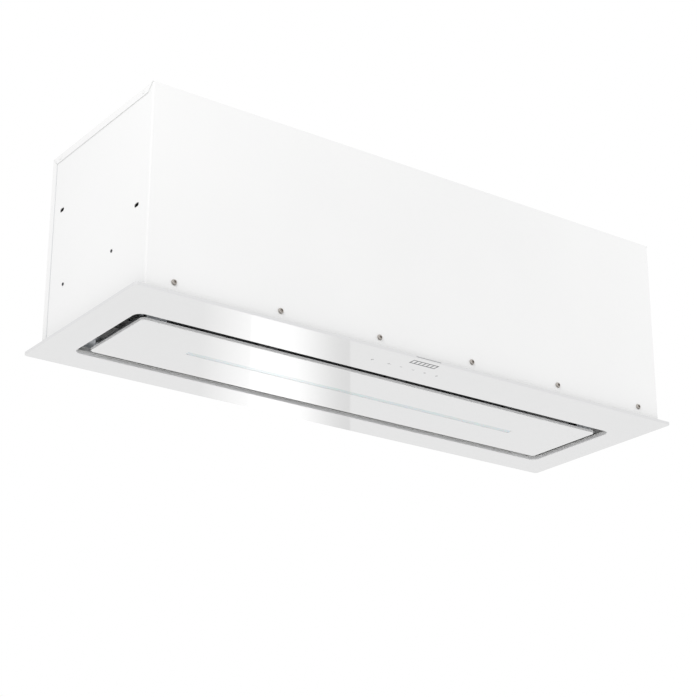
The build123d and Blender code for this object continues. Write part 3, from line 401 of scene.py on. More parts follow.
def solder_mask_board():
    """Glass-epoxy board under green solder mask, with tracks that show as lighter lines."""
    material, tree, place = start("solder_mask_board")
    tracks = add(
        tree,
        "ShaderNodeTexBrick",
        {
            "Vector": place, "Scale": 1000.0 / 9.0, "Mortar Size": 0.035, "Mortar Smooth": 0.1,
            "Color1": linear("#1C5236"), "Color2": linear("#1F5A3B"), "Mortar": linear("#3C8257"),
        },
    )
    raised = {"Height": tracks.outputs["Fac"], "Distance": 0.03 * MM, "Strength": 0.6}
    flow = add(tree, "ShaderNodeTexNoise", {"Vector": place, "Scale": 1000.0 / 3.0, "Detail": 2.0})
    shade(
        tree,
        {
            "Base Color": tracks.outputs["Color"],
            "Roughness": add(tree, "ShaderNodeMapRange", {"Value": flow, "To Min": 0.25, "To Max": 0.38}),
            "IOR": 1.55,
            "Normal": add(tree, "ShaderNodeBump", raised),
        },
    )
    return material


def white_board():
    """Aluminium-cored board under white solder mask, as LED strips have."""
    return grained(
        "white_board", ("#E6E6E2", "#F0F0EC"), grain=(6.0, 2.0), even={"Roughness": 0.35, "IOR": 1.5}
    )


def led_phosphor():
    """Silicone filled with yellow phosphor over each LED."""
    return grained(
        "led_phosphor", ("#E8CE4E", "#F2DC6A"), grain=(0.3, 2.0), even={"Roughness": 0.3, "IOR": 1.41}
    )


def foam_rubber():
    """Closed-cell EPDM foam: matt black with skin-like pits."""
    return grained(
        "foam_rubber", ("#161617", "#29292A"), grain=(0.7, 3.0),
        dents=(0.12, 0.8), even={"Roughness": 0.85, "IOR": 1.5},
    )


def glass_filled_nylon():
    """Injection-moulded nylon with glass fibre: dark grey, dull, with pale fibre streaks at the skin."""
    return grained(
        "glass_filled_nylon", ("#232426", "#37393C"), grain=(0.7, 2.0, (0.15, 1.0, 1.0)),
        gloss=(0.42, 0.60), dents=(0.02, 0.5), even={"IOR": 1.53},
    )


def moulded_black_abs():
    """Injection-moulded black ABS with a spark-eroded grain."""
    return grained(
        "moulded_black_abs", ("#1B1C1D", "#262728"), grain=(0.8, 2.0),
        gloss=(0.38, 0.52), dents=(0.03, 0.5), even={"IOR": 1.54},
    )


def moulded_pale_abs():
    """Injection-moulded light grey ABS of the flaps, with faint flow lines."""
    return grained(
        "moulded_pale_abs", ("#C9CAC8", "#D6D7D5"), grain=(0.7, 2.0), tint=(18.0, 2.0, (1.0, 0.3, 1.0)),
        gloss=(0.36, 0.48), dents=(0.02, 0.5), even={"IOR": 1.54},
    )


def moulded_white_plastic():
    """Moulded white polyester cases of the driver and the capacitor: half gloss."""
    return grained(
        "moulded_white_plastic", ("#E2E1DC", "#EAE9E5"), grain=(1.0, 2.0),
        gloss=(0.28, 0.38), dents=(0.015, 0.4), even={"IOR": 1.57},
    )


def grey_screen_ink():
    """Ceramic ink fired on the glass: a thin dark grey with ragged print density."""
    return grained(
        "grey_screen_ink", ("#57595B", "#66686A"), grain=(0.25, 2.0), even={"Roughness": 0.12, "IOR": 1.52}
    )


powder_white = powder_coat_white()
painted_glass = back_painted_glass()
opal = opal_acrylic()
seat_grey = powder_coat_grey()
galvanised = galvanised_steel()
zinc_plate = zinc_plated_steel()
stainless = stainless_fastener()
black_oxide = black_oxide_steel()
primed = grey_primed_steel()
sealant = silicone_bead()
sealer_painted_shade = seam_sealer_painted_shade()
shaft_steel = ground_shaft_steel()
ferrite = sintered_ferrite()
aluminium = rolled_aluminium()
mesh_layers_painted_shade = stacked_mesh()
mesh_strand_painted_shade = expanded_aluminium()
board_green = solder_mask_board()
board_white = white_board()
phosphor = led_phosphor()
foam = foam_rubber()
nylon = glass_filled_nylon()
black_abs = moulded_black_abs()
pale_abs = moulded_pale_abs()
white_plastic = moulded_white_plastic()
ink = grey_screen_ink()

finishes = {
    powder_white: ["housing_shell", "housing_top", "housing_back", "cover_rivets", "recess_lining"],
    painted_glass: ["glass_rim", "panel_glass"],
    opal: ["light_diffuser"],
    seat_grey: ["filter_shelf", "filter_ledge"],
    primed: ["rim_carrier", "panel_tray"],
    galvanised: [
        "scroll_wrap", "scroll_cheek_left", "scroll_cheek_right", "motor_bracket",
        "motor_can", "hanger_rail_left", "hanger_rail_right",
    ],
    zinc_plate: [
        "hinge_bracket_left", "hinge_bracket_right", "hinge_leaf_left", "hinge_leaf_right",
        "hinge_pins", "catch_arm_left", "catch_arm_right", "catch_keepers", "flap_pin",
    ],
    stainless: ["rim_screws", "motor_screws", "collar_screws"],
    black_oxide: ["shelf_screws"],
    shaft_steel: ["motor_shaft", "motor_bearings"],
    ferrite: ["filter_magnets", "catch_magnets"],
    aluminium: ["light_channel"],
    mesh_layers_painted_shade: [],
    board_green: ["control_board", "key_board"],
    board_white: ["led_board"],
    foam: ["outlet_gasket"],
    nylon: ["impeller"],
    black_abs: ["duct_collar", "control_box", "control_lid", "cable_gland", "key_cover"],
    pale_abs: ["flap_near", "flap_far"],
    white_plastic: ["led_driver", "capacitor"],
}
for number in (1, 2, 3):
    finishes[aluminium].append(f"filter_frame_{number}")
    finishes[mesh_layers_painted_shade].append(f"filter_mesh_{number}")
    finishes[stainless].append(f"filter_handle_{number}")
for finish, names in finishes.items():
    for name in names:
        nodes[name].data.materials.clear()
        nodes[name].data.materials.append(finish)


# ---- Geometry Nodes ----
def tree_with(name, inputs):
    """A geometry tree with named inputs; returns it, its socket identifiers and its group input."""
    tree = bpy.data.node_groups.new(name, "GeometryNodeTree")
    keys = {}
    for label, kind in inputs:
        keys[label] = tree.interface.new_socket(name=label, in_out="INPUT", socket_type=kind).identifier
    tree.interface.new_socket(name="Geometry", in_out="OUTPUT", socket_type="NodeSocketGeometry")
    return tree, keys, add(tree, "NodeGroupInput").outputs


def close_tree(tree, geometry, material):
    """Every tree ends in real faces with one material."""
    real = add(tree, "GeometryNodeRealizeInstances", {0: geometry})
    done = add(tree, "GeometryNodeSetMaterial", {"Geometry": real, "Material": material})
    add(tree, "NodeGroupOutput", {0: done})


def grow(name, tree, keys, values, host=None):
    """Runs a tree on a host mesh and keeps the result as a plain mesh."""
    seed = link(name + "_host", host or bpy.data.meshes.new(name + "_host"))
    modifier = seed.modifiers.new("grow", "NODES")
    modifier.node_group = tree
    for label, value in values.items():
        modifier[keys[label]] = value
    bpy.context.view_layer.update()
    graph = bpy.context.evaluated_depsgraph_get()
    mesh = bpy.data.meshes.new_from_object(seed.evaluated_get(graph))
    bpy.data.objects.remove(seed)
    mesh.name = name
    return link(name, mesh)


def fastener_tree(name, material):
    """One fastener on each point of the host, its head along the point's facing, each turned by chance."""
    tree, keys, given = tree_with(
        name,
        [
            ("Places", "NodeSocketGeometry"),
            ("Fastener", "NodeSocketObject"),
            ("Turn Seed", "NodeSocketInt"),
        ],
    )
    facing = add(tree, "GeometryNodeInputNamedAttribute", {"Name": "facing"}, data_type="FLOAT_VECTOR")
    upright = add(tree, "FunctionNodeAlignRotationToVector", {"Vector": facing}, axis="Z")
    chance = add(tree, "FunctionNodeRandomValue", {2: 0.0, 3: math.tau, "Seed": given["Turn Seed"]})
    turn = add(tree, "FunctionNodeAxisAngleToRotation", {"Axis": (0, 0, 1), "Angle": chance.outputs[1]})
    both = {"Rotation": upright, "Rotate By": turn}
    rotation = add(tree, "FunctionNodeRotateRotation", both, rotation_space="LOCAL")
    body = add(tree, "GeometryNodeObjectInfo", {"Object": given["Fastener"]}).outputs["Geometry"]
    copies = add(
        tree,
        "GeometryNodeInstanceOnPoints",
        {"Points": given["Places"], "Instance": body, "Rotation": rotation},
    )
    close_tree(tree, copies, material)
    return tree, keys


def places(name, spots):
    """Host points with the way each fastener's head faces."""
    mesh = bpy.data.meshes.new(name)
    mesh.from_pydata([tuple(c * MM for c in spot) for spot, _ in spots], [], [])
    facing = mesh.attributes.new("facing", "FLOAT_VECTOR", "POINT")
    for n, (_, way) in enumerate(spots):
        facing.data[n].vector = way
    return mesh


# ---- Turned and headed fasteners ----
def ring_radius(radius, shape, angle):
    """Distance to the edge of a round, six-sided or cross-shaped ring at an angle."""
    if shape == "hexagon":
        part = (angle % (math.pi / 3)) - math.pi / 6
        return radius * math.cos(math.pi / 6) / math.cos(part)
    if shape == "cross":
        sides = abs(math.cos(angle)), abs(math.sin(angle))
        arm = 0.28     # half the arm's width over its length
        return min(radius / max(sides), arm * radius / max(min(sides), 1e-6))
    return radius


def turned(name, rings, sides=24, smooth=False):
    """Closed shell through rings of (radius, height, shape), from the tip over the head into its recess."""
    verts, faces = [], []
    for radius, height, shape in rings:
        for n in range(sides):
            angle = math.tau * n / sides
            reach = ring_radius(radius, shape, angle)
            verts.append((reach * math.cos(angle), reach * math.sin(angle), height))
    for k in range(len(rings) - 1):
        for n in range(sides):
            a, b = k * sides + n, k * sides + (n + 1) % sides
            faces.append((a, b, b + sides, a + sides))
    faces.append(tuple(range(sides))[::-1])
    faces.append(tuple(range((len(rings) - 1) * sides, len(rings) * sides)))
    mesh = outward(mesh_of(name, verts, faces))
    for face in mesh.polygons:
        face.use_smooth = smooth
    piece = link(name, mesh)
    piece.hide_render = True
    return piece


def threaded(radius, pitch, length):
    """Rings of a threaded shank that ends at height 0."""
    root = radius * 0.84
    rings = [(radius * 0.6, -length, "round")]
    for n in range(int(length / pitch)):
        low = -length + pitch * n
        rings.append((root, low + 0.15 * pitch, "round"))
        rings.append((radius, low + 0.6 * pitch, "round"))
    rings.append((root, -0.05, "round"))
    return rings


def button_head(radius, height, socket, depth):
    """Low dome with a hexagon socket."""
    steps = [(1.0, 0.0), (1.0, 0.16), (0.965, 0.38), (0.87, 0.66), (0.72, 0.88), (0.55, 1.0)]
    rings = [(radius * r, height * h, "round") for r, h in steps]
    rings.append((socket * 1.08, height, "hexagon"))
    rings.append((socket, height - 0.12, "hexagon"))
    rings.append((socket * 0.98, height - depth, "hexagon"))
    rings.append((socket * 0.3, height - depth * 1.12, "round"))
    return rings


def pan_head(radius, height, recess, depth):
    """Flat pan with a cross recess."""
    steps = [(1.0, 0.0), (1.0, 0.45), (0.93, 0.8), (0.8, 1.0)]
    rings = [(radius * r, height * h, "round") for r, h in steps]
    rings.append((recess, height, "cross"))
    rings.append((recess * 0.8, height - depth * 0.6, "cross"))
    rings.append((recess * 0.3, height - depth, "round"))
    return rings


def blind_rivet():
    """A shank with a chamfered tip, and a low dome with the dimple that the mandrel leaves."""
    shank = [(1.5, -4.0), (1.9, -3.4), (1.9, 0.0)]
    dome = [(3.2, 0.0), (3.15, 0.22), (2.7, 0.55), (1.9, 0.78), (1.15, 0.8)]
    dimple = [(1.0, 0.45), (0.5, 0.4)]
    return [(radius, height, "round") for radius, height in shank + dome + dimple]


button_screw = turned(
    "button_screw",
    threaded(radius=2.0, pitch=0.7, length=8.0)
    + button_head(radius=4.0, height=2.6, socket=2.1, depth=2.4),
)
shelf_screw = turned(
    "shelf_screw",
    threaded(radius=1.5, pitch=0.5, length=8.0)
    + pan_head(radius=2.3, height=0.8, recess=1.2, depth=0.6),
)
collar_screw = turned(
    "collar_screw",
    threaded(radius=2.5, pitch=0.8, length=12.2)
    + button_head(radius=4.5, height=3.0, socket=1.85, depth=1.8),
)
motor_screw = turned(
    "motor_screw",
    threaded(radius=2.0, pitch=0.7, length=3.0)
    + pan_head(radius=4.0, height=2.6, recess=2.2, depth=1.4),
)
rivet = turned("rivet", blind_rivet(), smooth=True)

bright = fastener_tree("stainless_fasteners", stainless)
black = fastener_tree("black_fasteners", black_oxide)
painted_rivets, rivet_keys = fastener_tree("painted_rivets", powder_white)
rim_spots = [((x, WALL_NEAR, RIM_SCREW_Z), (0, -1, 0)) for x in RIM_SCREW_X]
rim_spots += [((x, WALL_FAR, RIM_SCREW_Z), (0, 1, 0)) for x in RIM_SCREW_X]
shelf_spots = [((end * WALL_X, y, END_SCREW_Z), (end, 0, 0)) for end in (-1, 1) for y in END_SCREW_Y]
collar_spots = [
    ((x, COLLAR_Y + y, COLLAR_PLATE_TOP), (0, 0, 1))
    for x in (-COLLAR_SCREW_REACH, COLLAR_SCREW_REACH)
    for y in (-COLLAR_SCREW_REACH, COLLAR_SCREW_REACH)
]
motor_spots = []
for angle in (math.radians(60), math.radians(180), math.radians(300)):
    y = SCROLL_Y + MOTOR_SCREW_CIRCLE * math.sin(angle)
    z = SCROLL_Z - MOTOR_SCREW_CIRCLE * math.cos(angle)
    motor_spots.append(((MOTOR_SCREW_X, y, z), (-1, 0, 0)))
rivet_spots = [
    ((end * (WALL_X + SHEET), y, HOUSING_TOP - FOLD_WIDTH / 2), (end, 0, 0))
    for end in (-1, 1)
    for y in RIVET_Y
]
for name, node, (kind, kind_keys), fastener, seed, spots in (
    ("rim_screws_dressed", "rim_screws", bright, button_screw, 3, rim_spots),
    ("shelf_screws_dressed", "shelf_screws", black, shelf_screw, 8, shelf_spots),
    ("collar_screws_dressed", "collar_screws", bright, collar_screw, 2, collar_spots),
    ("motor_screws_dressed", "motor_screws", bright, motor_screw, 6, motor_spots),
):
    values = {"Fastener": fastener, "Turn Seed": seed}
    screws = grow(name, kind, kind_keys, values, places(name + "_places", spots))
    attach(screws, "hood")
    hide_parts(node)
rivets = grow(
    "cover_rivets_dressed",
    painted_rivets,
    rivet_keys,
    {"Fastener": rivet, "Turn Seed": 1},
    places("rivet_places", rivet_spots),
)
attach(rivets, "hood")
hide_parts("cover_rivets")
for pattern in (button_screw, shelf_screw, collar_screw, motor_screw, rivet):
    bpy.data.objects.remove(pattern)


# ---- Grease filters: expanded mesh over the folds ----
def expanded_mesh_tree():
    """Strands that zigzag along X and meet their neighbours, laid over the folds that run along X."""
    tree, keys, given = tree_with(
        "expanded_mesh",
        [
            ("Length", "NodeSocketFloat"),
            ("Depth", "NodeSocketFloat"),
            ("Strands", "NodeSocketInt"),
            ("Steps", "NodeSocketInt"),
            ("Fold Pitch", "NodeSocketFloat"),
            ("Fold Height", "NodeSocketFloat"),
            ("Strand Radius", "NodeSocketFloat"),
            ("Corner", "NodeSocketVector"),
        ],
    )
    # One strand along X, whose points swing to either side by half of the distance between strands
    across = add(tree, "ShaderNodeMath", {0: given["Depth"], 1: given["Strands"]}, operation="DIVIDE")
    spans = add(tree, "ShaderNodeMath", {0: given["Steps"], 1: 1.0}, operation="SUBTRACT")
    along = add(tree, "ShaderNodeMath", {0: given["Length"], 1: spans}, operation="DIVIDE")
    step = add(tree, "ShaderNodeCombineXYZ", {"X": along})
    strand = add(tree, "GeometryNodeMeshLine", {"Count": given["Steps"], "Offset": step}, mode="OFFSET")
    index = add(tree, "GeometryNodeInputIndex")
    odd = add(tree, "ShaderNodeMath", {0: index, 1: 2.0}, operation="MODULO")
    side = add(tree, "ShaderNodeMath", {0: odd, 1: 0.5}, operation="SUBTRACT")
    swing = add(tree, "ShaderNodeMath", {0: side, 1: across}, operation="MULTIPLY")
    sideways = add(tree, "ShaderNodeCombineXYZ", {"Y": swing})
    bent = add(tree, "GeometryNodeSetPosition", {"Geometry": strand, "Offset": sideways})

    # A copy on each row, every second one flipped so that the strands meet
    half = add(tree, "ShaderNodeMath", {0: across, 1: 0.5}, operation="MULTIPLY")
    first_row = add(tree, "ShaderNodeCombineXYZ", {"Y": half})
    next_row = add(tree, "ShaderNodeCombineXYZ", {"Y": across})
    lines = {"Count": given["Strands"], "Start Location": first_row, "Offset": next_row}
    rows = add(tree, "GeometryNodeMeshLine", lines, mode="OFFSET")
    twice = add(tree, "ShaderNodeMath", {0: odd, 1: 2.0}, operation="MULTIPLY")
    sign = add(tree, "ShaderNodeMath", {0: 1.0, 1: twice}, operation="SUBTRACT")
    flip = add(tree, "ShaderNodeCombineXYZ", {"X": 1.0, "Y": sign, "Z": 1.0})
    copies = add(tree, "GeometryNodeInstanceOnPoints", {"Points": rows, "Instance": bent, "Scale": flip})
    laid = add(tree, "GeometryNodeRealizeInstances", {0: copies})

    # Raised over the folds, and brought to the filter's corner
    spot = add(tree, "ShaderNodeSeparateXYZ", {0: add(tree, "GeometryNodeInputPosition")}).outputs
    half_fold = add(tree, "ShaderNodeMath", {0: given["Fold Pitch"], 1: 0.5}, operation="MULTIPLY")
    fold = add(tree, "ShaderNodeMath", {0: spot["Y"], 1: half_fold}, operation="PINGPONG")
    share = add(tree, "ShaderNodeMath", {0: fold, 1: given["Fold Pitch"]}, operation="DIVIDE")
    full = add(tree, "ShaderNodeMath", {0: given["Fold Height"], 1: 2.0}, operation="MULTIPLY")
    rise = add(tree, "ShaderNodeMath", {0: share, 1: full}, operation="MULTIPLY")
    upwards = add(tree, "ShaderNodeCombineXYZ", {"Z": rise})
    raised = add(tree, "GeometryNodeSetPosition", {"Geometry": laid, "Offset": upwards})
    moved = add(tree, "GeometryNodeSetPosition", {"Geometry": raised, "Offset": given["Corner"]})

    wires = add(tree, "GeometryNodeMeshToCurve", {0: moved})
    circle = {"Resolution": 4, "Radius": given["Strand Radius"]}
    section = add(tree, "GeometryNodeCurvePrimitiveCircle", circle)
    sweep = {"Curve": wires, "Profile Curve": section, "Fill Caps": True}
    close_tree(tree, add(tree, "GeometryNodeCurveToMesh", sweep), mesh_strand_painted_shade)
    return tree, keys


mesh_tree, mesh_keys = expanded_mesh_tree()
filter_depth = FILTER_FAR - FILTER_NEAR
for number, x in enumerate(FILTER_X, start=1):
    strands = grow(
        f"filter_strands_{number}",
        mesh_tree,
        mesh_keys,
        {
            "Length": (FILTER_LENGTH - 2 * STRAND_END_INSET) * MM,
            "Depth": (filter_depth - STRAND_NEAR_INSET - STRAND_FAR_INSET) * MM,
            "Strands": STRANDS,
            "Steps": STRAND_STEPS,
            "Fold Pitch": (filter_depth - 2 * STRAND_NEAR_INSET) / PLEATS * MM,
            "Fold Height": STRAND_FOLD_HEIGHT * MM,
            "Strand Radius": STRAND_RADIUS * MM,
            "Corner": (
                (x - FILTER_LENGTH / 2 + STRAND_END_INSET) * MM,
                (FILTER_NEAR + STRAND_NEAR_INSET) * MM,
                (FILTER_LOW + STRAND_RISE) * MM,
            ),
        },
    )
    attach(strands, f"filter_{number}")


# ---- Sealing bead round the opening ----
def bead_tree():
    """A round bead along a rectangle with rounded corners, lying flat at a height."""
    tree, keys, given = tree_with(
        "sealing_bead",
        [
            ("Width", "NodeSocketFloat"),
            ("Depth", "NodeSocketFloat"),
            ("Corner Radius", "NodeSocketFloat"),
            ("Bead Radius", "NodeSocketFloat"),
            ("Centre", "NodeSocketVector"),
        ],
    )
    sides = {"Width": given["Width"], "Height": given["Depth"]}
    loop = add(tree, "GeometryNodeCurvePrimitiveQuadrilateral", sides)
    corners = {"Curve": loop, "Radius": given["Corner Radius"], "Count": 8}
    soft = add(tree, "GeometryNodeFilletCurve", corners, mode="POLY")
    placed = add(tree, "GeometryNodeSetPosition", {"Geometry": soft, "Offset": given["Centre"]})
    circle = {"Resolution": 14, "Radius": given["Bead Radius"]}
    section = add(tree, "GeometryNodeCurvePrimitiveCircle", circle)
    tube = add(tree, "GeometryNodeCurveToMesh", {"Curve": placed, "Profile Curve": section})
    close_tree(tree, add(tree, "GeometryNodeSetShadeSmooth", {"Geometry": tube}), sealant)
    return tree, keys


bead_shape, bead_keys = bead_tree()
bead = grow(
    "opening_sealing_bead",
    bead_shape,
    bead_keys,
    {
        "Width": 2 * (OPEN_X + BEAD_OUT) * MM,
        "Depth": (OPEN_FAR - OPEN_NEAR + 2 * BEAD_OUT) * MM,
        "Corner Radius": (OPEN_CORNER + BEAD_OUT) * MM,
        "Bead Radius": BEAD_RADIUS * MM,
        "Centre": (0.0, (OPEN_NEAR + OPEN_FAR) / 2 * MM, (RIM_GLASS + BEAD_RADIUS) * MM),
    },
)
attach(bead, "hood")


# ---- Sealer in the seams between the back sheet's folds and the end sheets; its grey is painted shade ----
def seam_tree():
    """A straight bead from foot to top, and its twin at the other end of the housing."""
    tree, keys, given = tree_with(
        "fold_seams",
        [
            ("Foot", "NodeSocketVector"),
            ("Top", "NodeSocketVector"),
            ("Twin Offset", "NodeSocketVector"),
            ("Bead Radius", "NodeSocketFloat"),
        ],
    )
    line = add(tree, "GeometryNodeCurvePrimitiveLine", {"Start": given["Foot"], "End": given["Top"]})
    circle = {"Resolution": 12, "Radius": given["Bead Radius"]}
    section = add(tree, "GeometryNodeCurvePrimitiveCircle", circle)
    sweep = {"Curve": line, "Profile Curve": section, "Fill Caps": True}
    rod = add(tree, "GeometryNodeCurveToMesh", sweep)
    twin = add(tree, "GeometryNodeTransform", {"Geometry": rod, "Translation": given["Twin Offset"]})
    both = add(tree, "GeometryNodeJoinGeometry", {0: rod})
    tree.links.new(twin.outputs[0], both.inputs[0])
    close_tree(tree, both, sealer_painted_shade)
    return tree, keys


seam_shape, seam_keys = seam_tree()
seams = grow(
    "fold_seam_sealer",
    seam_shape,
    seam_keys,
    {
        "Foot": (-WALL_X * MM, SEAM_Y * MM, (RIM_GLASS + SEAM_FOOT_GAP) * MM),
        "Top": (-WALL_X * MM, SEAM_Y * MM, (HOUSING_TOP - FOLD_WIDTH - SEAM_TOP_GAP) * MM),
        "Twin Offset": (2 * WALL_X * MM, 0.0, 0.0),
        "Bead Radius": SEAM_RADIUS * MM,
    },
)
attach(seams, "hood")


# ---- LED strip behind the diffuser ----
def led_tree():
    """A row of LEDs, each a low body with its lens below, along X."""
    tree, keys, given = tree_with(
        "led_row",
        [
            ("Count", "NodeSocketInt"),
            ("Start", "NodeSocketVector"),
            ("Pitch", "NodeSocketFloat"),
            ("Size", "NodeSocketVector"),
            ("Lens Radius", "NodeSocketFloat"),
        ],
    )
    step = add(tree, "ShaderNodeCombineXYZ", {"X": given["Pitch"]})
    line = {"Count": given["Count"], "Start Location": given["Start"], "Offset": step}
    row = add(tree, "GeometryNodeMeshLine", line, mode="OFFSET")
    body = add(tree, "GeometryNodeMeshCube", {"Size": given["Size"]})
    ball = {"Segments": 10, "Rings": 6, "Radius": given["Lens Radius"]}
    lens = add(tree, "GeometryNodeMeshUVSphere", ball)
    lowered = {"Geometry": lens, "Translation": (0, 0, -LED_HEIGHT / 2 * MM), "Scale": (1.0, 1.0, 0.5)}
    flat = add(tree, "GeometryNodeTransform", lowered)
    both = add(tree, "GeometryNodeJoinGeometry", {0: body})
    tree.links.new(flat.outputs[0], both.inputs[0])
    close_tree(tree, add(tree, "GeometryNodeInstanceOnPoints", {"Points": row, "Instance": both}), phosphor)
    return tree, keys


led_row, led_keys = led_tree()
leds = grow(
    "led_chips",
    led_row,
    led_keys,
    {
        "Count": LED_COUNT,
        "Start": (
            -(LED_COUNT - 1) / 2 * LED_PITCH * MM,
            LIGHT_Y * MM,
            (LED_BOARD_LOW - LED_HEIGHT / 2) * MM,
        ),
        "Pitch": LED_PITCH * MM,
        "Size": (LED_LENGTH * MM, LED_WIDTH * MM, LED_HEIGHT * MM),
        "Lens Radius": LED_LENS_RADIUS * MM,
    },
)
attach(leds, "door_panel")


# ---- Touch keys and level bar printed on the glass, and a painted reflection of the bar in the cut edge ----
def ink_piece(name, outlines, lay=lambda x, y: (x, y, -INK_PROUD), facing=(0, 0, -1)):
    """Flat ink shapes laid on the glass, each a loop of (x, y) points with a hole or none."""
    work = bmesh.new()
    for outer, inner in outlines:
        top = [work.verts.new([c * MM for c in lay(x, y)]) for x, y in outer]
        if inner:
            low = [work.verts.new([c * MM for c in lay(x, y)]) for x, y in inner]
            for n in range(len(top)):
                m = (n + 1) % len(top)
                work.faces.new((top[n], low[n], low[m], top[m]))
        else:
            work.faces.new(top)
    work.normal_update()
    for face in work.faces:
        if face.normal.dot(Vector(facing)) < 0:
            face.normal_flip()
    mesh = bpy.data.meshes.new(name)
    work.to_mesh(mesh)
    work.free()
    mesh.materials.append(ink)
    return link(name, mesh)


def ring_loop(x, y, radius, width, sides=20):
    """A ring of ink: its outer and its inner loop."""
    angles = [math.tau * n / sides for n in range(sides)]
    outer = [(x + radius * math.cos(a), y + radius * math.sin(a)) for a in angles]
    inner = [(x + (radius - width) * math.cos(a), y + (radius - width) * math.sin(a)) for a in angles]
    return outer, inner


def bar(x0, x1, y0, y1):
    """A bar of ink: its loop, and no hole."""
    return [(x0, y0), (x1, y0), (x1, y1), (x0, y1)], None


def key_signs():
    """The signs of the six keys, from left to right: power, lamp, less, level, more and clock."""
    power, lamp, less, level, more, clock = KEY_X
    y = KEY_Y
    return [
        ring_loop(power, y, radius=1.8, width=0.7),
        bar(power - 0.35, power + 0.35, y + 0.6, y + 2.4),
        ring_loop(lamp, y, radius=1.4, width=0.7),
        bar(lamp - 3.2, lamp - 1.9, y - 0.35, y + 0.35),
        bar(lamp + 1.9, lamp + 3.2, y - 0.35, y + 0.35),
        bar(less - 1.9, less + 1.9, y - 0.45, y + 0.45),
        *[bar(level + 1.7 * n - 0.4, level + 1.7 * n + 0.4, y - 1.4, y + 0.7 * n + 0.6) for n in (-1, 0, 1)],
        bar(more - 1.9, more + 1.9, y - 0.45, y + 0.45),
        bar(more - 0.4, more + 0.4, y + 0.45, y + 1.9),
        bar(more - 0.4, more + 0.4, y - 1.9, y - 0.45),
        ring_loop(clock, y, radius=1.8, width=0.6),
        bar(clock - 0.3, clock + 0.3, y, y + 1.2),
    ]


def level_marks():
    """A frame of two long lines, with seven short ones across it."""
    half = BAR_LINE / 2
    low, high = BAR_NEAR + BAR_LINE, BAR_FAR - BAR_LINE
    cross_lines = [(BAR_X - half) * n / 3 for n in range(-3, 4)]
    return [
        bar(-BAR_X, BAR_X, BAR_NEAR, low),
        bar(-BAR_X, BAR_X, high, BAR_FAR),
        *[bar(x - half, x + half, low, high) for x in cross_lines],
    ]


keys_print = ink_piece("touch_key_symbols", key_signs())
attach(keys_print, "hood")
level_print = ink_piece("level_bar", level_marks())
# Painted reflection: the level bar's image in the near cut edge of the glass, drawn in ink on that edge
edge_painted_reflection = ink_piece(
    "level_bar_seen_in_cut_edge",
    [bar(*REFLECTED_BAR_X, *REFLECTED_BAR_Z)],
    lambda x, z: (x, GLASS_NEAR - INK_PROUD, z),
    (0, -1, 0),
)
for piece in (level_print, edge_painted_reflection):
    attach(piece, "hood")


# ---- Camera, where the photograph was taken ----
azimuth, elevation = math.radians(CAMERA_AZIMUTH), math.radians(CAMERA_ELEVATION)
back = Vector(
    (
        math.sin(azimuth) * math.cos(elevation),
        -math.cos(azimuth) * math.cos(elevation),
        math.sin(elevation),
    )
)
camera = link("camera", bpy.data.cameras.new("camera"))
camera.data.lens = CAMERA_LENS
camera.data.sensor_width = CAMERA_SENSOR
camera.location = CAMERA_PLACE
camera.rotation_mode = "QUATERNION"
camera.rotation_quaternion = (-back).to_track_quat("-Z", "Y")
camera.data.clip_start, camera.data.clip_end = 0.05, 60.0
bpy.context.scene.camera = camera


# ---- Studio: white surround, pale floor, soft lights ----
bpy.context.scene.view_settings.view_transform = "Standard"
world = bpy.data.worlds.new("studio")
bpy.context.scene.world = world
world.use_nodes = True
sky = world.node_tree
sky.nodes.clear()
seen = add(sky, "ShaderNodeLightPath").outputs["Is Camera Ray"]
surround = add(sky, "ShaderNodeBackground", {"Color": linear("#FFFFFF"), "Strength": 1.0})
lit = add(sky, "ShaderNodeBackground", {"Color": linear("#FDFDFE"), "Strength": 1.02})
mixed = add(sky, "ShaderNodeMixShader", {0: seen, 1: lit, 2: surround})
add(sky, "ShaderNodeOutputWorld", {"Surface": mixed})


def pale_floor():
    """Matt pale studio floor, with a faint cloud in its tone."""
    return grained(
        "pale_floor", ("#EDEDED", "#F0F0F0"), grain=(900.0, 2.0),
        even={"Roughness": 0.9, "Specular IOR Level": 0.2},
    )


floor_mesh = bpy.data.meshes.new("floor")
turns = [math.tau * n / FLOOR_SIDES for n in range(FLOOR_SIDES)]
floor_mesh.from_pydata(
    [(FLOOR_RADIUS * math.cos(turn), FLOOR_RADIUS * math.sin(turn), FLOOR_Z) for turn in turns],
    [],
    [tuple(range(FLOOR_SIDES))],
)
floor_mesh.materials.append(pale_floor())
floor = link("floor", floor_mesh)


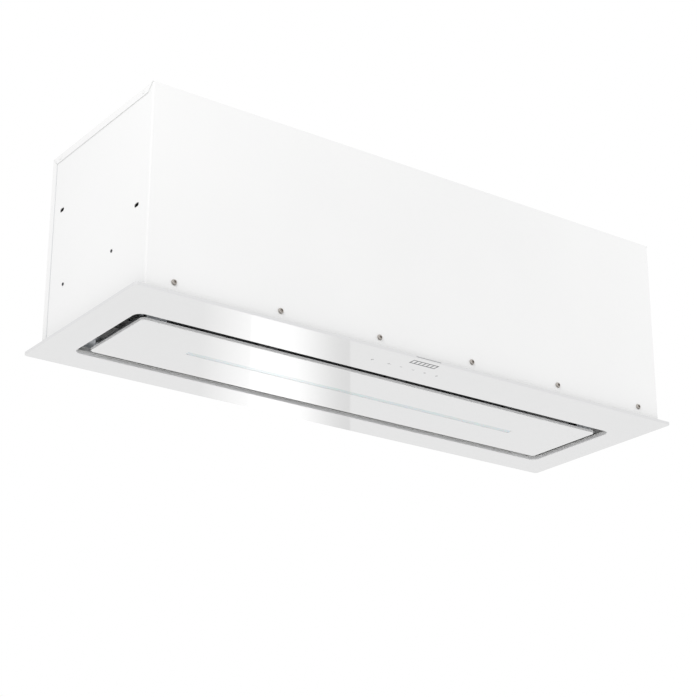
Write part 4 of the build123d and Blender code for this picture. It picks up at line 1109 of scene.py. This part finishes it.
def reflector():
    """Upright softbox that only gloss sees: bright along its left edge, easing to dim at its right one.

    To its left is a soft spill that fades into the room.
    """
    mesh = bpy.data.meshes.new("reflected_card")
    corners = [
        (SPILL_LEFT, SOFTBOX_Y, SOFTBOX_LOW),
        (SOFTBOX_RIGHT, SOFTBOX_Y, SOFTBOX_LOW),
        (SOFTBOX_RIGHT, SOFTBOX_Y, SOFTBOX_HIGH),
        (SPILL_LEFT, SOFTBOX_Y, SOFTBOX_HIGH),
    ]
    mesh.from_pydata(corners, [], [(0, 1, 2, 3)])
    material, tree, place = start("reflected_card")
    along = add(tree, "ShaderNodeSeparateXYZ", {0: place}).outputs["X"]
    ease = {
        "Value": along, "From Min": SOFTBOX_EASES_FROM, "From Max": SOFTBOX_RIGHT,
        "To Min": SOFTBOX_BRIGHT, "To Max": SOFTBOX_DIM,
    }
    fade = {
        "Value": along, "From Min": SPILL_LEFT, "From Max": SOFTBOX_LEFT,
        "To Min": ROOM_GLOW, "To Max": SPILL_BRIGHT,
    }
    box = add(tree, "ShaderNodeMapRange", ease, interpolation_type="SMOOTHSTEP")
    spill = add(tree, "ShaderNodeMapRange", fade)
    inside = add(tree, "ShaderNodeMath", {0: along, 1: SOFTBOX_LEFT}, operation="GREATER_THAN")
    glow = add(tree, "ShaderNodeMix", {0: inside, 2: spill, 3: box}, data_type="FLOAT")
    light = add(tree, "ShaderNodeEmission", {"Strength": glow})
    add(tree, "ShaderNodeOutputMaterial", {"Surface": light})
    mesh.materials.append(material)
    card = link("reflected_card", mesh)
    card.visible_camera = False
    card.visible_diffuse = False
    card.visible_shadow = False


def soft_light(name, place, aim, size, watts):
    """A square light at place, turned to aim, that shows neither itself nor its reflection."""
    lamp = bpy.data.lights.new(name, "AREA")
    lamp.shape = "SQUARE"
    lamp.size = size
    lamp.energy = watts
    piece = link(name, lamp)
    piece.location = place
    piece.rotation_mode = "QUATERNION"
    piece.rotation_quaternion = (Vector(aim) - Vector(place)).to_track_quat("-Z", "Y")
    piece.visible_camera = False
    piece.visible_glossy = False


reflector()
soft_light("key_light", place=(-3.6, -2.2, 1.9), aim=(0, 0, 0.15), size=1.6, watts=19.0)
soft_light("left_fill", place=(-1.0, -0.70, 0.75), aim=(-0.45, -0.10, 0.20), size=0.5, watts=2.5)
soft_light("right_fill", place=(1.15, -0.62, 0.55), aim=(0.50, -0.10, 0.15), size=0.5, watts=2.1)
